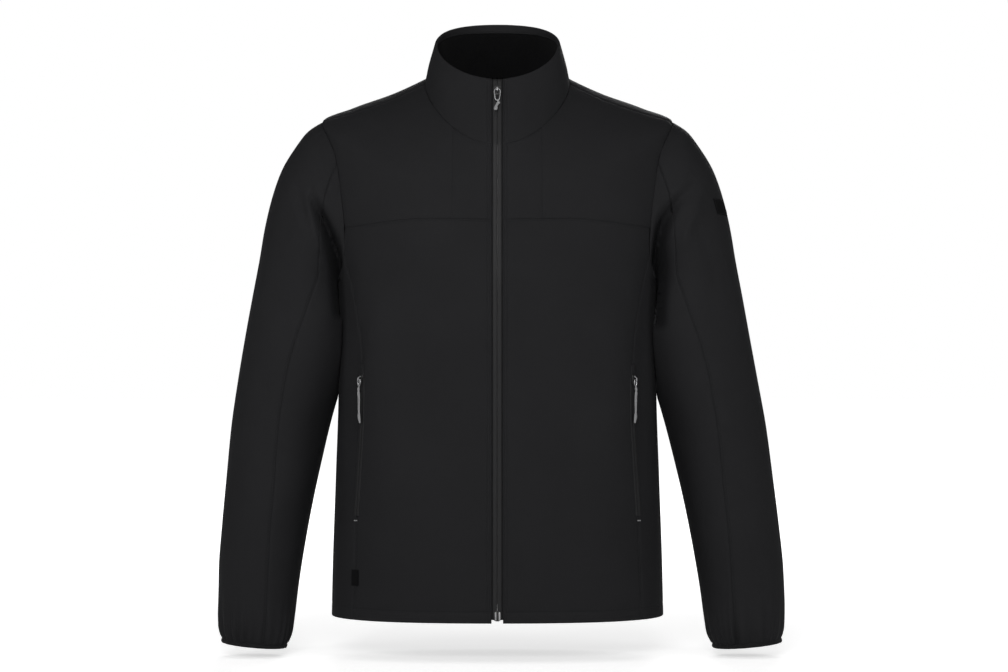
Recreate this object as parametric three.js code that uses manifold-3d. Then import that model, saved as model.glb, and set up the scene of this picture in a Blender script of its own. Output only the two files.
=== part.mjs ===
// A men's softshell jacket, filled out as if on a wearer who isn't there: hollow, closed by its front zip,
// the sleeves hanging just clear of the body. Millimetres, +Z up, the front faces -Y and +X is the wearer's
// left. The origin is where the shoulders carry it: on the centre line, level with the foot of the collar.

import * as THREE from "three";
import { mergeVertices } from "three/addons/utils/BufferGeometryUtils.js";
import Module from "manifold-3d";

const wasm = await Module();
wasm.setup();

// Driving dimensions
const WALL = 1.8; // bonded softshell cloth
const FACING_WALL = 1.2;
const SEAM_GAP = 0.3; // between two sewn edges
const LAY_GAP = 0.3; // between a panel and what lies on it
const BACK_GAP = 0.8; // between a panel and what lies behind it
const SLEEVE_CLEARANCE = 1.2; // sleeve to body
const FRONT_EDGE_X = 9; // the front edges stand this far from the centre line
const YOKE_SEAM_X = 57; // the short upright seams on the yoke
const CUFF_HEIGHT = 8;
const CUFF_WALL = 2.6;
const CUFF_BULGE = 0.5;
const PUCKER_COUNT = 14; // round each sleeve end
const TAPE_WALL = 0.9;
const POCKET_ZIP_HALF_WIDTH = 4;
const POCKET_ZIP_WALL = 0.9;
const PATCH_WALL = 1;

// A table's rows as objects with these keys.
const table = (keys, rows) => rows.map((row) => Object.fromEntries(keys.map((key, i) => [key, row[i]])));

// Level loops of the body, from the neck seam down. front, back and middle give the loop's depth, zFront,
// zSide and zBack its height, and round the power of its superellipse.
const LOOP_KEYS = ["halfWidth", "front", "back", "middle", "zFront", "zSide", "zBack", "round"];
const NECK_ROW = [94, 93, 72, -12, -87, 0, 8, 2];
const BODY_LOOPS = table(LOOP_KEYS, [
  NECK_ROW,
  [140, 98, 88, -9, -103, -18.5, -26, 2],
  [188, 104, 100, -6, -122, -35, -58, 2.05],
  [228, 110, 109, -3, -146, -53, -104, 2.15],
  [229, 116, 116, 0, -180, -110, -150, 2.35],
  [219, 121, 121, 0, -222, -186, -206, 2.5],
  [206.5, 124, 123, 0, -270, -262, -266, 2.5],
  [205, 124, 121, 0, -330, -330, -330, 2.5],
  [206.5, 122, 118, 0, -420, -420, -420, 2.5],
  [210, 121, 118, 0, -520, -520, -520, 2.5],
  [213.5, 122, 120, 0, -620, -620, -620, 2.45],
  [215, 123, 122, 0, -687, -687, -687, 2.4],
]);
const SHOULDER = 3; // the loop that passes the shoulder points
const UNDERARM = 6;
const HEM = BODY_LOOPS.length - 1;

// The stand collar's loops, from the neck seam up to its rim, which dips at the front.
const COLLAR_LOOPS = table(LOOP_KEYS, [
  NECK_ROW,
  [90, 84, 70.5, -10.5, -58, 17, 33, 2],
  [85.5, 75.5, 69, -9, -29, 34, 58, 2],
  [81, 67, 68, -8, -1, 50, 82, 2],
]);
const RIM = COLLAR_LOOPS.length - 1;

// Sections of the wearer's left sleeve, from the armhole down to the cuff. Each lies between a point of the
// outer line and one of the inner line. frontSeam and backSeam are degrees round it: 0 is the front and 90
// the outer line.
const SECTION_KEYS = [
  "outerX", "outerZ", "innerX", "innerZ", "front", "back", "middle", "frontSeam", "backSeam",
];
const SLEEVE_LOOPS = table(SECTION_KEYS, [
  [226, -56, 206.5, -262, 68, 72, 3, 27, 189],
  [245, -66, 205, -268, 73, 76, 3, 9, 191],
  [262, -85, 201, -276, 75, 77, 3, -3, 193],
  [279, -112, 196, -288, 75, 76, 2, -12, 194],
  [292, -148, 190, -304, 73, 74, 1, -14, 194],
  [302, -190, 186, -325, 72, 72, 0, -9, 193],
  [309, -232, 187, -348, 71, 70, -1, -4, 192],
  [318, -280, 195, -374, 69, 68, -2, -1, 191],
  [327, -330, 206, -405, 67, 66, -3, 0, 190],
  [337, -388, 217, -442, 65, 64, -4, -1, 189],
  [346, -445, 228, -485, 62.5, 62, -6, -4, 188],
  [352.5, -505, 239.5, -534, 60, 60, -8, -8, 187],
  [359, -568, 250.5, -588, 57, 57, -11, -11.5, 186],
  [364, -630, 260, -644, 54, 54, -14, -16, 184],
  [365, -678, 266.5, -690, 51, 51, -17, -18.5, 182],
  [364, -703, 271, -713, 48, 48, -18, -19, 181],
  [360, -719, 277.5, -727, 43, 43, -19, -19.5, 180],
]);
const SLEEVE_ROUND = 2.15;
const CUFF_LOOP = SLEEVE_LOOPS.length - 1;
const JOIN_LOOPS = 4; // the armhole's own shape fades out over these loops
// How far the gathered cloth waves in and out at the last sleeve loops.
const PUCKERS = [
  { loop: CUFF_LOOP - 2, wave: 0.6 },
  { loop: CUFF_LOOP - 1, wave: 1.5 },
  { loop: CUFF_LOOP, wave: 1 },
];

// Seams of the wearer's left half, as seen from the front or the back: x from the centre line, z up.
const YOKE_SEAM = [[57, -181], [98, -181], [136, -184], [166, -188], [195, -191]];
const SIDE_FRONT_SEAM = [
  [195.5, -228], [188, -258], [180, -297], [174, -340], [171, -385], [172, -435], [176, -495], [180, -560],
  [182, -620], [184, -687],
];
const SIDE_BACK_SEAM = [
  [197, -228], [189, -262], [181, -305], [173, -370], [170, -450], [174, -550], [180, -687],
];
const POCKET_TOP_Z = -366;
const POCKET_BOTTOM_Z = -558;
const POCKET_SLIDER_Z = -384;

// Soft folds of the filled-out cloth, raised (+) or sunk (-) by height at their middle. On the body, loop and
// angle place them; slant moves the middle round by so many degrees for each loop further down.
const BODY_FOLDS = [
  { loop: 7.2, angle: 44, slant: -3, length: 1.6, width: 11, height: 3 },
  { loop: 7.6, angle: 62, slant: -2, length: 1.5, width: 8, height: -2.5 },
  { loop: 9.6, angle: 33, slant: 2, length: 1.3, width: 13, height: 1.8 },
  { loop: 6.8, angle: 128, slant: 5, length: 1.4, width: 11, height: 3 },
  { loop: 7.6, angle: 112, slant: 3, length: 1.2, width: 8, height: -2.5 },
  { loop: 8.8, angle: 158, slant: -2, length: 1.5, width: 13, height: 2.2 },
];
const SLEEVE_FOLDS = [
  { loop: 3.2, angle: -28, slant: 9, length: 1.7, width: 15, height: -5 },
  { loop: 3.4, angle: 8, slant: 6, length: 1.5, width: 12, height: 3 },
  { loop: 6.6, angle: 52, slant: 2, length: 3.2, width: 16, height: 2.5 },
  { loop: 9.5, angle: -50, slant: 14, length: 1.1, width: 26, height: -3 },
  { loop: 10.6, angle: -30, slant: 12, length: 1, width: 24, height: 2.5 },
  { loop: 9.2, angle: 205, slant: -10, length: 1.1, width: 24, height: -2.5 },
  { loop: 3.2, angle: 210, slant: -9, length: 1.6, width: 15, height: -4 },
];

const CLOTH = new THREE.MeshStandardMaterial({ color: 0x242426, roughness: 0.85, metalness: 0 });
const INNER_CLOTH = new THREE.MeshStandardMaterial({ color: 0x111112, roughness: 0.95, metalness: 0 });
const ELASTIC = new THREE.MeshStandardMaterial({ color: 0x1c1c1e, roughness: 0.9, metalness: 0 });
const ZIP_TAPE = new THREE.MeshStandardMaterial({ color: 0x2c2c2d, roughness: 0.7, metalness: 0 });
const LABEL = new THREE.MeshStandardMaterial({ color: 0x151516, roughness: 0.8, metalness: 0 });
const GREY_METAL = new THREE.MeshStandardMaterial({ color: 0x8f9092, roughness: 0.4, metalness: 0.9 });
const GREY_PULL = new THREE.MeshStandardMaterial({ color: 0x8b8c8e, roughness: 0.6, metalness: 0 });

const DEGREE = Math.PI / 180;
const NORMAL_STEP = 0.01; // loops and radians between the points that give a normal
const sum = (list) => list.reduce((total, value) => total + value, 0);
const moved = (point, direction, distance) => point.clone().addScaledVector(direction, distance);
const smooth = (t) => t * t * (3 - 2 * t);

// The slope of a column at a row: the harmonic mean of the steps on both sides, so that nothing overshoots.
function slopeAt(before, here, after) {
  const into = here - before;
  const out = after - here;
  return into * out <= 0 ? 0 : (2 * into * out) / (into + out);
}

// A table read at a fractional row, each column on a cubic through its rows.
function rowAt(table, at) {
  const last = table.length - 1;
  const row = Math.min(Math.max(Math.floor(at), 0), last - 1);
  const t = at - row;
  const read = (key, i) => {
    if (i < 0) return 2 * table[0][key] - table[1][key];
    if (i > last) return 2 * table[last][key] - table[last - 1][key];
    return table[i][key];
  };
  const result = {};
  for (const key of Object.keys(table[0])) {
    const [a, b, c, d] = [row - 1, row, row + 1, row + 2].map((i) => read(key, i));
    const start = slopeAt(a, b, c);
    const end = slopeAt(b, c, d);
    const bend = 3 * (c - b) - 2 * start - end;
    const twist = 2 * (b - c) + start + end;
    result[key] = b + t * (start + t * (bend + t * twist));
  }
  return result;
}

// Sine and cosine of a superellipse of this power.
function roundedTurn(angle, power) {
  const bend = (value) => Math.sign(value) * Math.abs(value) ** (2 / power);
  return { across: bend(Math.sin(angle)), ahead: bend(Math.cos(angle)) };
}

// How far the folds raise the cloth at a loop and an angle in degrees.
function foldHeight(folds, loop, degrees) {
  return sum(
    folds.map((fold) => {
      const along = (loop - fold.loop) / fold.length;
      const turn = (degrees - fold.angle - fold.slant * (loop - fold.loop)) / fold.width;
      return fold.height * Math.exp(-along * along - turn * turn);
    }),
  );
}

// The body and collar are one surface. loop runs from the collar's rim (-RIM) through the neck seam (0) to
// the hem, and angle from the centre front (0) by the wearer's left (90 degrees) to the centre back.
const loopTable = (loop) => (loop < 0 ? rowAt(COLLAR_LOOPS, -loop) : rowAt(BODY_LOOPS, loop));

function bodyPoint(loop, angle) {
  const row = loopTable(loop);
  const { across, ahead } = roundedTurn(angle, row.round);
  const level = Math.cos(angle);
  const tilt = (row.zFront - row.zBack) / 2;
  const sag = (row.zFront + row.zBack) / 2 - row.zSide;
  const depth = ahead > 0 ? row.front : row.back;
  return new THREE.Vector3(
    row.halfWidth * across,
    row.middle - depth * ahead,
    row.zSide + tilt * level + sag * level * level,
  );
}

function bodyNormal(loop, angle) {
  const step = NORMAL_STEP;
  const down = bodyPoint(loop + step, angle).sub(bodyPoint(loop - step, angle));
  const round = bodyPoint(loop, angle + step).sub(bodyPoint(loop, angle - step));
  return down.cross(round).normalize();
}

// A point of the cloth's outer face, sunk by depth.
function clothPoint([loop, angle], depth = 0) {
  const half = Math.abs(Math.asin(Math.sin(angle / 2)) * 2) / DEGREE;
  const fold = loop > 0 ? foldHeight(BODY_FOLDS, loop, half) : 0;
  return moved(bodyPoint(loop, angle), bodyNormal(loop, angle), fold - depth);
}

// The angle at which a loop is x wide, on the front or the back.
function angleAtWidth(loop, x, onBack = false) {
  const row = loopTable(loop);
  const angle = Math.asin(Math.min(1, Math.abs(x) / row.halfWidth) ** (row.round / 2));
  return Math.sign(x) * (onBack ? Math.PI - angle : angle);
}

// The place on the body that shows at x and z from the front or the back.
function placeAt(x, z, onBack = false) {
  let above = 0;
  let below = HEM;
  for (let halving = 0; halving < 40; halving++) {
    const loop = (above + below) / 2;
    if (bodyPoint(loop, angleAtWidth(loop, x, onBack)).z > z) above = loop;
    else below = loop;
  }
  return [above, angleAtWidth(above, x, onBack)];
}

// Evenly spaced steps from one number to another.
const steps = (from, to, count) =>
  Array.from({ length: count + 1 }, (_, i) => from + ((to - from) * i) / count);

// A seam through x and z points, as places on the body.
function seam(points, count, onBack = false) {
  const curve = new THREE.SplineCurve(points.map(([x, z]) => new THREE.Vector2(x, z)));
  return curve.getSpacedPoints(count).map((p) => placeAt(p.x, p.y, onBack));
}

const join = (...parts) => parts.flatMap((part, i) => (i ? part.slice(1) : part));
const mirrored = (places) => places.map(([loop, angle]) => [loop, -angle]);
const pastBack = (places) => places.map(([loop, angle]) => [loop, 2 * Math.PI - angle]);

// The left armhole as a closed loop. Each knot is a place and the number of edges from it to the next one. It
// starts at the front sleeve seam and goes over the shoulder, down the back and round under the arm.
const ARMHOLE_KNOTS = [
  { name: "front sleeve seam", place: placeAt(205, -110), edges: 2 },
  { name: "", place: placeAt(212.5, -85), edges: 2 },
  { name: "shoulder seam", place: [SHOULDER, 83 * DEGREE], edges: 1 },
  { name: "", place: [SHOULDER - 0.03, 94 * DEGREE], edges: 2 },
  { name: "", place: placeAt(214, -84, true), edges: 3 },
  { name: "", place: placeAt(203.5, -124, true), edges: 3 },
  { name: "back sleeve seam", place: placeAt(197, -176, true), edges: 2 },
  { name: "side back seam", place: placeAt(197, -228, true), edges: 2 },
  { name: "", place: [UNDERARM - 0.13, 104 * DEGREE], edges: 2 },
  { name: "underarm", place: [UNDERARM, 90 * DEGREE], edges: 2 },
  { name: "", place: [UNDERARM - 0.13, 76 * DEGREE], edges: 2 },
  { name: "side front seam", place: placeAt(195.5, -228), edges: 1 },
  { name: "yoke seam", place: placeAt(195, -191), edges: 2 },
  { name: "", place: placeAt(199, -150), edges: 2 },
];
const ARMHOLE_EDGES = sum(ARMHOLE_KNOTS.map((knot) => knot.edges));

const armhole = (() => {
  const knots = ARMHOLE_KNOTS.map(({ place }) => new THREE.Vector3(place[0], place[1], 0));
  const curve = new THREE.CatmullRomCurve3(knots, true, "centripetal");
  return ARMHOLE_KNOTS.flatMap(({ edges }, k) =>
    steps(k, k + 1, edges)
      .slice(0, -1)
      .map((t) => {
        const p = curve.getPoint(t / knots.length);
        return [p.x, p.y];
      }),
  );
})();

const armholeIndex = (name) => {
  const knot = ARMHOLE_KNOTS.findIndex((k) => k.name === name);
  return sum(ARMHOLE_KNOTS.slice(0, knot).map((k) => k.edges));
};

// The armhole's places from one named knot on to another, in its own direction.
function armholeFrom(start, end) {
  const first = armholeIndex(start);
  const count = (armholeIndex(end) - first + ARMHOLE_EDGES) % ARMHOLE_EDGES;
  return steps(0, count, count).map((i) => armhole[(first + i) % ARMHOLE_EDGES]);
}

// Seams of the left half, each sampled once and used by the pieces on both sides of it.
const frontEdge = (fromLoop, toLoop, count) =>
  steps(fromLoop, toLoop, count).map((loop) => [loop, angleAtWidth(loop, FRONT_EDGE_X)]);
const yokeFrontLoop = placeAt(FRONT_EDGE_X, -182)[0];
const neckUprightAngle = angleAtWidth(0, YOKE_SEAM_X);
const neck = {
  centre: steps(angleAtWidth(0, FRONT_EDGE_X), neckUprightAngle, 3).map((angle) => [0, angle]),
  side: steps(neckUprightAngle, Math.PI / 2, 4).map((angle) => [0, angle]),
  back: steps(Math.PI / 2, Math.PI, 5).map((angle) => [0, angle]),
};
const shoulderSeam = (() => {
  const curve = new THREE.SplineCurve(
    [[0, 90], [1.5, 82], [SHOULDER, 83]].map(([loop, angle]) => new THREE.Vector2(loop, angle * DEGREE)),
  );
  return curve.getPoints(5).map((p) => [p.x, p.y]);
})();
const yokeCentreSeam = seam([[FRONT_EDGE_X, -182], [YOKE_SEAM_X, -181]], 3);
const yokeSideSeam = seam(YOKE_SEAM, 5);
const uprightSeam = steps(0, yokeSideSeam[0][0], 4).map((loop) => [loop, angleAtWidth(loop, YOKE_SEAM_X)]);
const sideFrontSeam = seam(SIDE_FRONT_SEAM, 12);
const sideBackSeam = seam(SIDE_BACK_SEAM, 12, true);
const hem = (fromAngle, toAngle, count) => steps(fromAngle, toAngle, count).map((angle) => [HEM, angle]);

// Fills the cloth between four seams. top and bottom run towards the wearer's left, left and right run down.
function fill({ top, bottom, left, right }) {
  return left.map((_, j) =>
    top.map((_, i) => {
      const s = i / (top.length - 1);
      const t = j / (left.length - 1);
      return [0, 1].map(
        (k) =>
          (1 - t) * top[i][k] + t * bottom[i][k] + (1 - s) * left[j][k] + s * right[j][k] -
          (1 - s) * ((1 - t) * top[0][k] + t * bottom[0][k]) -
          s * ((1 - t) * top.at(-1)[k] + t * bottom.at(-1)[k]),
      );
    }),
  );
}

// Moves the edge of a grid of points inwards by half a seam gap on the named sides.
function drawIn(grid, sides) {
  const rows = grid.length - 1;
  const columns = grid[0].length - 1;
  const result = grid.map((row) => row.map((p) => p.clone()));
  const shift = (j, i, inJ, inI, alongJ, alongI) => {
    const clampRow = (v) => Math.min(Math.max(v, 0), rows);
    const clampColumn = (v) => Math.min(Math.max(v, 0), columns);
    const edge = grid[clampRow(j + alongJ)][clampColumn(i + alongI)]
      .clone()
      .sub(grid[clampRow(j - alongJ)][clampColumn(i - alongI)])
      .normalize();
    const inward = grid[inJ][inI].clone().sub(grid[j][i]);
    inward.addScaledVector(edge, -inward.dot(edge)).normalize();
    result[j][i].addScaledVector(inward, SEAM_GAP / 2);
  };
  for (let j = 0; j <= rows; j++) {
    if (sides.includes("left")) shift(j, 0, j, 1, 1, 0);
    if (sides.includes("right")) shift(j, columns, j, columns - 1, 1, 0);
  }
  for (let i = 0; i <= columns; i++) {
    if (sides.includes("top")) shift(0, i, 1, i, 0, 1);
    if (sides.includes("bottom")) shift(rows, i, rows - 1, i, 0, 1);
  }
  return result;
}

// A closed wall between an outer and an inner grid of points. Rows run down and columns towards the wearer's
// left as seen from outside. closed joins the last column to the first, and even gives both halves of a piece
// that crosses the centre the same faces, mirrored.
function wall(outer, inner, { closed = false, even = false } = {}) {
  const rows = outer.length;
  const columns = outer[0].length;
  const positions = [...outer.flat(), ...inner.flat()].flatMap((p) => p.toArray());
  const at = (j, i, side) => side * rows * columns + j * columns + (i % columns);
  const index = [];
  const quad = (a, b, c, d) => index.push(a, b, c, a, c, d);
  const cells = closed ? columns : columns - 1;
  const isTurned = (i) => even && i >= cells / 2;
  for (let j = 0; j < rows - 1; j++) {
    for (let i = 0; i < cells; i++) {
      const face = [[j, i], [j + 1, i], [j + 1, i + 1], [j, i + 1]];
      if (isTurned(i)) face.push(face.shift());
      quad(...face.map((place) => at(...place, 0)));
      const [first, ...others] = face.map((place) => at(...place, 1));
      quad(first, ...others.reverse());
    }
  }
  const rim = (a, b) => quad(at(...b, 0), at(...a, 0), at(...a, 1), at(...b, 1));
  for (let i = 0; i < cells; i++) {
    rim([0, i + 1], [0, i]);
    rim([rows - 1, i], [rows - 1, i + 1]);
  }
  for (let j = 0; j < rows - 1 && !closed; j++) {
    rim([j, 0], [j + 1, 0]);
    rim([j + 1, columns - 1], [j, columns - 1]);
  }
  const geometry = new THREE.BufferGeometry();
  geometry.setAttribute("position", new THREE.Float32BufferAttribute(positions, 3));
  geometry.setIndex(index);
  return geometry;
}

const jacket = new THREE.Group();
const rightSide = new THREE.Group();
rightSide.scale.x = -1;
jacket.add(rightSide);

// A piece in the jacket's own frame, or in a frame on its cloth.
function addPiece(name, geometry, material, { frame, side = jacket } = {}) {
  const mesh = new THREE.Mesh(geometry, material);
  mesh.name = name;
  if (frame) mesh.applyMatrix4(frame);
  side.add(mesh);
}

// A piece on the wearer's left and its mirror image on the right.
function addPair(name, geometry, material, frame) {
  addPiece(`${name}_left`, geometry, material, { frame });
  addPiece(`${name}_right`, geometry, material, { frame, side: rightSide });
}

// A panel of the body: its grid of places made into points, its sewn edges drawn in and its wall given.
function panel(places, sewn, thickness = WALL) {
  const outer = drawIn(places.map((row) => row.map((place) => clothPoint(place))), sewn);
  const inner = outer.map((row, j) => row.map((p, i) => moved(p, bodyNormal(...places[j][i]), -thickness)));
  return [outer, inner];
}

// Body panels
const yokeCentre = fill({
  top: neck.centre,
  bottom: yokeCentreSeam,
  left: frontEdge(0, yokeFrontLoop, 4),
  right: uprightSeam,
});
addPair("yoke_centre", wall(...panel(yokeCentre, ["top", "right", "bottom"])), CLOTH);

const yokeSide = fill({
  top: shoulderSeam,
  bottom: yokeSideSeam,
  left: join([...neck.side].reverse(), uprightSeam),
  right: armholeFrom("yoke seam", "shoulder seam").reverse(),
});
addPair("yoke_side", wall(...panel(yokeSide, ["top", "right", "bottom", "left"])), CLOTH);

const frontLower = fill({
  top: join(yokeCentreSeam, yokeSideSeam),
  bottom: hem(angleAtWidth(HEM, FRONT_EDGE_X), sideFrontSeam.at(-1)[1], 8),
  left: frontEdge(yokeFrontLoop, HEM, 13),
  right: join(armholeFrom("side front seam", "yoke seam").reverse(), sideFrontSeam),
});
addPair("front_lower", wall(...panel(frontLower, ["top", "right"])), CLOTH);

const sidePanel = fill({
  top: armholeFrom("side back seam", "side front seam").reverse(),
  bottom: hem(sideFrontSeam.at(-1)[1], sideBackSeam.at(-1)[1], 8),
  left: sideFrontSeam,
  right: sideBackSeam,
});
addPair("side_panel", wall(...panel(sidePanel, ["top", "right", "left"])), CLOTH);

const backLeftSide = join(armholeFrom("shoulder seam", "side back seam"), sideBackSeam);
const backTop = join([...shoulderSeam].reverse(), neck.back);
const back = fill({
  top: join(backTop, pastBack([...backTop].reverse())),
  bottom: hem(sideBackSeam.at(-1)[1], 2 * Math.PI - sideBackSeam.at(-1)[1], 20),
  left: backLeftSide,
  right: pastBack(backLeftSide),
});
addPiece("back", wall(...panel(back, ["top", "right", "left"]), { even: true }), CLOTH);

// Collar and its facing, open at the front where the zip runs
function collarGrid(frontX, fromLoop, toLoop, rows, angles) {
  return steps(fromLoop, toLoop, rows).map((loop) => {
    const edge = angleAtWidth(loop, frontX);
    const half = [edge, ...angles];
    const otherHalf = half.map((angle) => 2 * Math.PI - angle).reverse();
    return [...half, Math.PI, ...otherHalf].map((angle) => [loop, angle]);
  });
}
const neckAngles = join(neck.centre, neck.side, neck.back).map(([, angle]) => angle);
const collarPlaces = collarGrid(FRONT_EDGE_X, -RIM, 0, 4, neckAngles.slice(1, -1));
const collarOuter = drawIn(collarPlaces.map((row) => row.map((place) => clothPoint(place))), ["bottom"]);
// At the neck seam the body turns out under the collar, so there the collar keeps its own normal at the sides
// and the back.
const JUST_ABOVE_SEAM = -0.02;
const FRONT_COSINE = 0.5;
const collarNormal = ([loop, angle]) => {
  const turnsOut = loop === 0 && Math.cos(angle) < FRONT_COSINE;
  return bodyNormal(turnsOut ? JUST_ABOVE_SEAM : loop, angle);
};
const collarInner = collarOuter.map((row, j) =>
  row.map((p, i) => moved(p, collarNormal(collarPlaces[j][i]), -WALL)),
);
addPiece("collar", wall(collarOuter, collarInner, { even: true }), CLOTH);

const FACING_EDGE_X = 18;
const FACING_FOOT_LOOP = -0.12;
const facingPlaces = collarGrid(FACING_EDGE_X, -RIM, 0, 4, neckAngles.slice(2, -1)).map((row) =>
  row.map(([loop, angle]) => [Math.min(loop, FACING_FOOT_LOOP), angle]),
);
const facing = [WALL + BACK_GAP, WALL + BACK_GAP + FACING_WALL].map((depth) =>
  facingPlaces.map((row) => row.map((place) => clothPoint(place, depth))),
);
addPiece("collar_facing", wall(...facing, { even: true }), INNER_CLOTH);

// Sleeves
const sleeveAxis = (row) => ({
  middle: new THREE.Vector3((row.outerX + row.innerX) / 2, row.middle, (row.outerZ + row.innerZ) / 2),
  reach: new THREE.Vector3((row.outerX - row.innerX) / 2, 0, (row.outerZ - row.innerZ) / 2),
});

function sleevePoint(loop, degrees) {
  const row = rowAt(SLEEVE_LOOPS, loop);
  const { middle, reach } = sleeveAxis(row);
  const { across, ahead } = roundedTurn(degrees * DEGREE, SLEEVE_ROUND);
  const depth = ahead > 0 ? row.front : row.back;
  return middle.addScaledVector(reach, across).add(new THREE.Vector3(0, -depth * ahead, 0));
}

// The number of degrees round a sleeve section at which a point lies.
function degreesRound(loop, point) {
  const { middle, reach } = sleeveAxis(SLEEVE_LOOPS[loop]);
  const offset = point.clone().sub(middle);
  const across = offset.dot(reach) / reach.lengthSq();
  const ahead = -offset.y / (offset.y < 0 ? SLEEVE_LOOPS[loop].front : SLEEVE_LOOPS[loop].back);
  const unbend = (value) => Math.sign(value) * Math.abs(value) ** (SLEEVE_ROUND / 2);
  const degrees = Math.atan2(unbend(across), unbend(ahead)) / DEGREE;
  return degrees < -100 ? degrees + 360 : degrees;
}

const BEYOND_BODY_X = 1000;

// Moves a sleeve point out to this clearance from the body's side, below the underarm.
function keepOffBody(point, clearance) {
  if (point.z > BODY_LOOPS[UNDERARM].zSide) return point;
  const { halfWidth, front, back, round } = loopTable(placeAt(BEYOND_BODY_X, point.z)[0]);
  const wide = Math.abs(point.x) / (halfWidth + clearance);
  const deep = Math.abs(point.y) / ((point.y < 0 ? front : back) + clearance);
  const out = (wide ** round + deep ** round) ** (1 / round);
  return out < 1 ? new THREE.Vector3(point.x / out, point.y / out, point.z) : point;
}

const armholePoints = armhole.map((place) => clothPoint(place));
const topEdges = armholeIndex("back sleeve seam");
const armholeDegrees = armholePoints.map((p, i) => {
  const degrees = degreesRound(0, p);
  return i > topEdges && degrees < 100 ? degrees + 360 : degrees;
});

// Degrees round the sleeve of each of its columns: as the armhole's are at first, then evenly spaced between
// the seams.
function columnDegrees(loop, column) {
  const underEdges = ARMHOLE_EDGES - topEdges;
  const even = ({ frontSeam, backSeam }) =>
    column <= topEdges
      ? frontSeam + ((backSeam - frontSeam) * column) / topEdges
      : backSeam + ((360 + frontSeam - backSeam) * (column - topEdges)) / underEdges;
  const own = 1 - smooth(Math.min(1, loop / (JOIN_LOOPS + 2)));
  return even(rowAt(SLEEVE_LOOPS, loop)) + own * (armholeDegrees[column] - even(SLEEVE_LOOPS[0]));
}

function puckerAt(loop, column) {
  const step = PUCKERS.find((row) => row.loop === loop);
  return step ? step.wave * Math.cos((column * PUCKER_COUNT * 2 * Math.PI) / ARMHOLE_EDGES) : 0;
}

// The sleeve's outer face. Near the armhole it takes on the armhole's own shape.
const sleeveOuter = SLEEVE_LOOPS.map((_, loop) =>
  armhole.map((_, column) => {
    if (loop === 0) return armholePoints[column].clone();
    const degrees = columnDegrees(loop, column);
    const point = sleevePoint(loop, degrees);
    const joining = Math.max(0, 1 - loop / JOIN_LOOPS) ** 2;
    const difference = armholePoints[column].clone().sub(sleevePoint(0, columnDegrees(0, column)));
    point.addScaledVector(difference, joining);
    const { middle } = sleeveAxis(SLEEVE_LOOPS[loop]);
    const outward = point.clone().sub(middle).normalize();
    const turned = degrees > 270 ? degrees - 360 : degrees;
    point.addScaledVector(outward, foldHeight(SLEEVE_FOLDS, loop, turned) + puckerAt(loop, column));
    return keepOffBody(point, Math.min(SLEEVE_CLEARANCE, SLEEVE_CLEARANCE * loop));
  }),
);

// Unit normals of a closed grid, pointing out of it.
function gridNormals(grid) {
  const columns = grid[0].length;
  return grid.map((row, j) =>
    row.map((_, i) => {
      const down = grid[Math.min(j + 1, grid.length - 1)][i].clone().sub(grid[Math.max(j - 1, 0)][i]);
      const round = row[(i + 1) % columns].clone().sub(row[(i + columns - 1) % columns]);
      return down.cross(round).normalize();
    }),
  );
}
const sleeveNormals = gridNormals(sleeveOuter);
const SEAM_SHARE = 0.75; // how much of the gap at the armhole the sleeve makes

// Where the sleeve runs on over the shoulder its edge is cut square to the body's cloth, and where it folds
// back under the arm it stands a little off the body.
sleeveOuter[0].forEach((point, i) => {
  const normal = bodyNormal(...armhole[i]);
  const along = armholePoints[(i + 1) % ARMHOLE_EDGES]
    .clone()
    .sub(armholePoints[(i + ARMHOLE_EDGES - 1) % ARMHOLE_EDGES])
    .normalize();
  const outOfPanel = along.cross(normal).normalize();
  const leaving = sleeveOuter[1][i].clone().sub(point).normalize();
  if (leaving.dot(normal) < 0) sleeveNormals[0][i].copy(normal);
  point.addScaledVector(outOfPanel, SEAM_GAP * SEAM_SHARE);
  point.addScaledVector(normal, SEAM_GAP * Math.max(0, -leaving.dot(outOfPanel)));
});

const columnsOf = (grid, from, to) =>
  grid.map((row) => steps(from, to, to - from).map((i) => row[i % row.length]));

function sleevePiece(name, from, to) {
  const outer = drawIn(columnsOf(sleeveOuter, from, to), ["left", "right"]);
  const normals = columnsOf(sleeveNormals, from, to);
  const inner = outer.map((row, j) => row.map((p, i) => moved(p, normals[j][i], -WALL)));
  addPair(name, wall(outer, inner), CLOTH);
}
sleevePiece("sleeve_top", 0, topEdges);
sleevePiece("sleeve_under", topEdges, ARMHOLE_EDGES);

// Cuff bindings: a rounded elastic band that carries the sleeve's end
const cuffBand = (() => {
  const end = SLEEVE_LOOPS[CUFF_LOOP];
  const { middle, reach } = sleeveAxis(end);
  const down = new THREE.Vector3(reach.z, 0, -reach.x).normalize();
  const profile = [
    { drop: SEAM_GAP, out: -CUFF_BULGE },
    { drop: CUFF_HEIGHT / 2, out: CUFF_BULGE },
    { drop: CUFF_HEIGHT, out: -CUFF_BULGE },
  ];
  const ring = (drop, out) =>
    steps(0, ARMHOLE_EDGES, ARMHOLE_EDGES)
      .slice(0, -1)
      .map((column) => {
        const point = sleevePoint(CUFF_LOOP, columnDegrees(CUFF_LOOP, column));
        const outward = point.clone().sub(middle).normalize();
        return moved(moved(point, outward, out), down, drop);
      });
  return [0, -CUFF_WALL].map((depth) => profile.map(({ drop, out }) => ring(drop, out + depth)));
})();
addPair("cuff", wall(...cuffBand, { closed: true }), ELASTIC);

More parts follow.
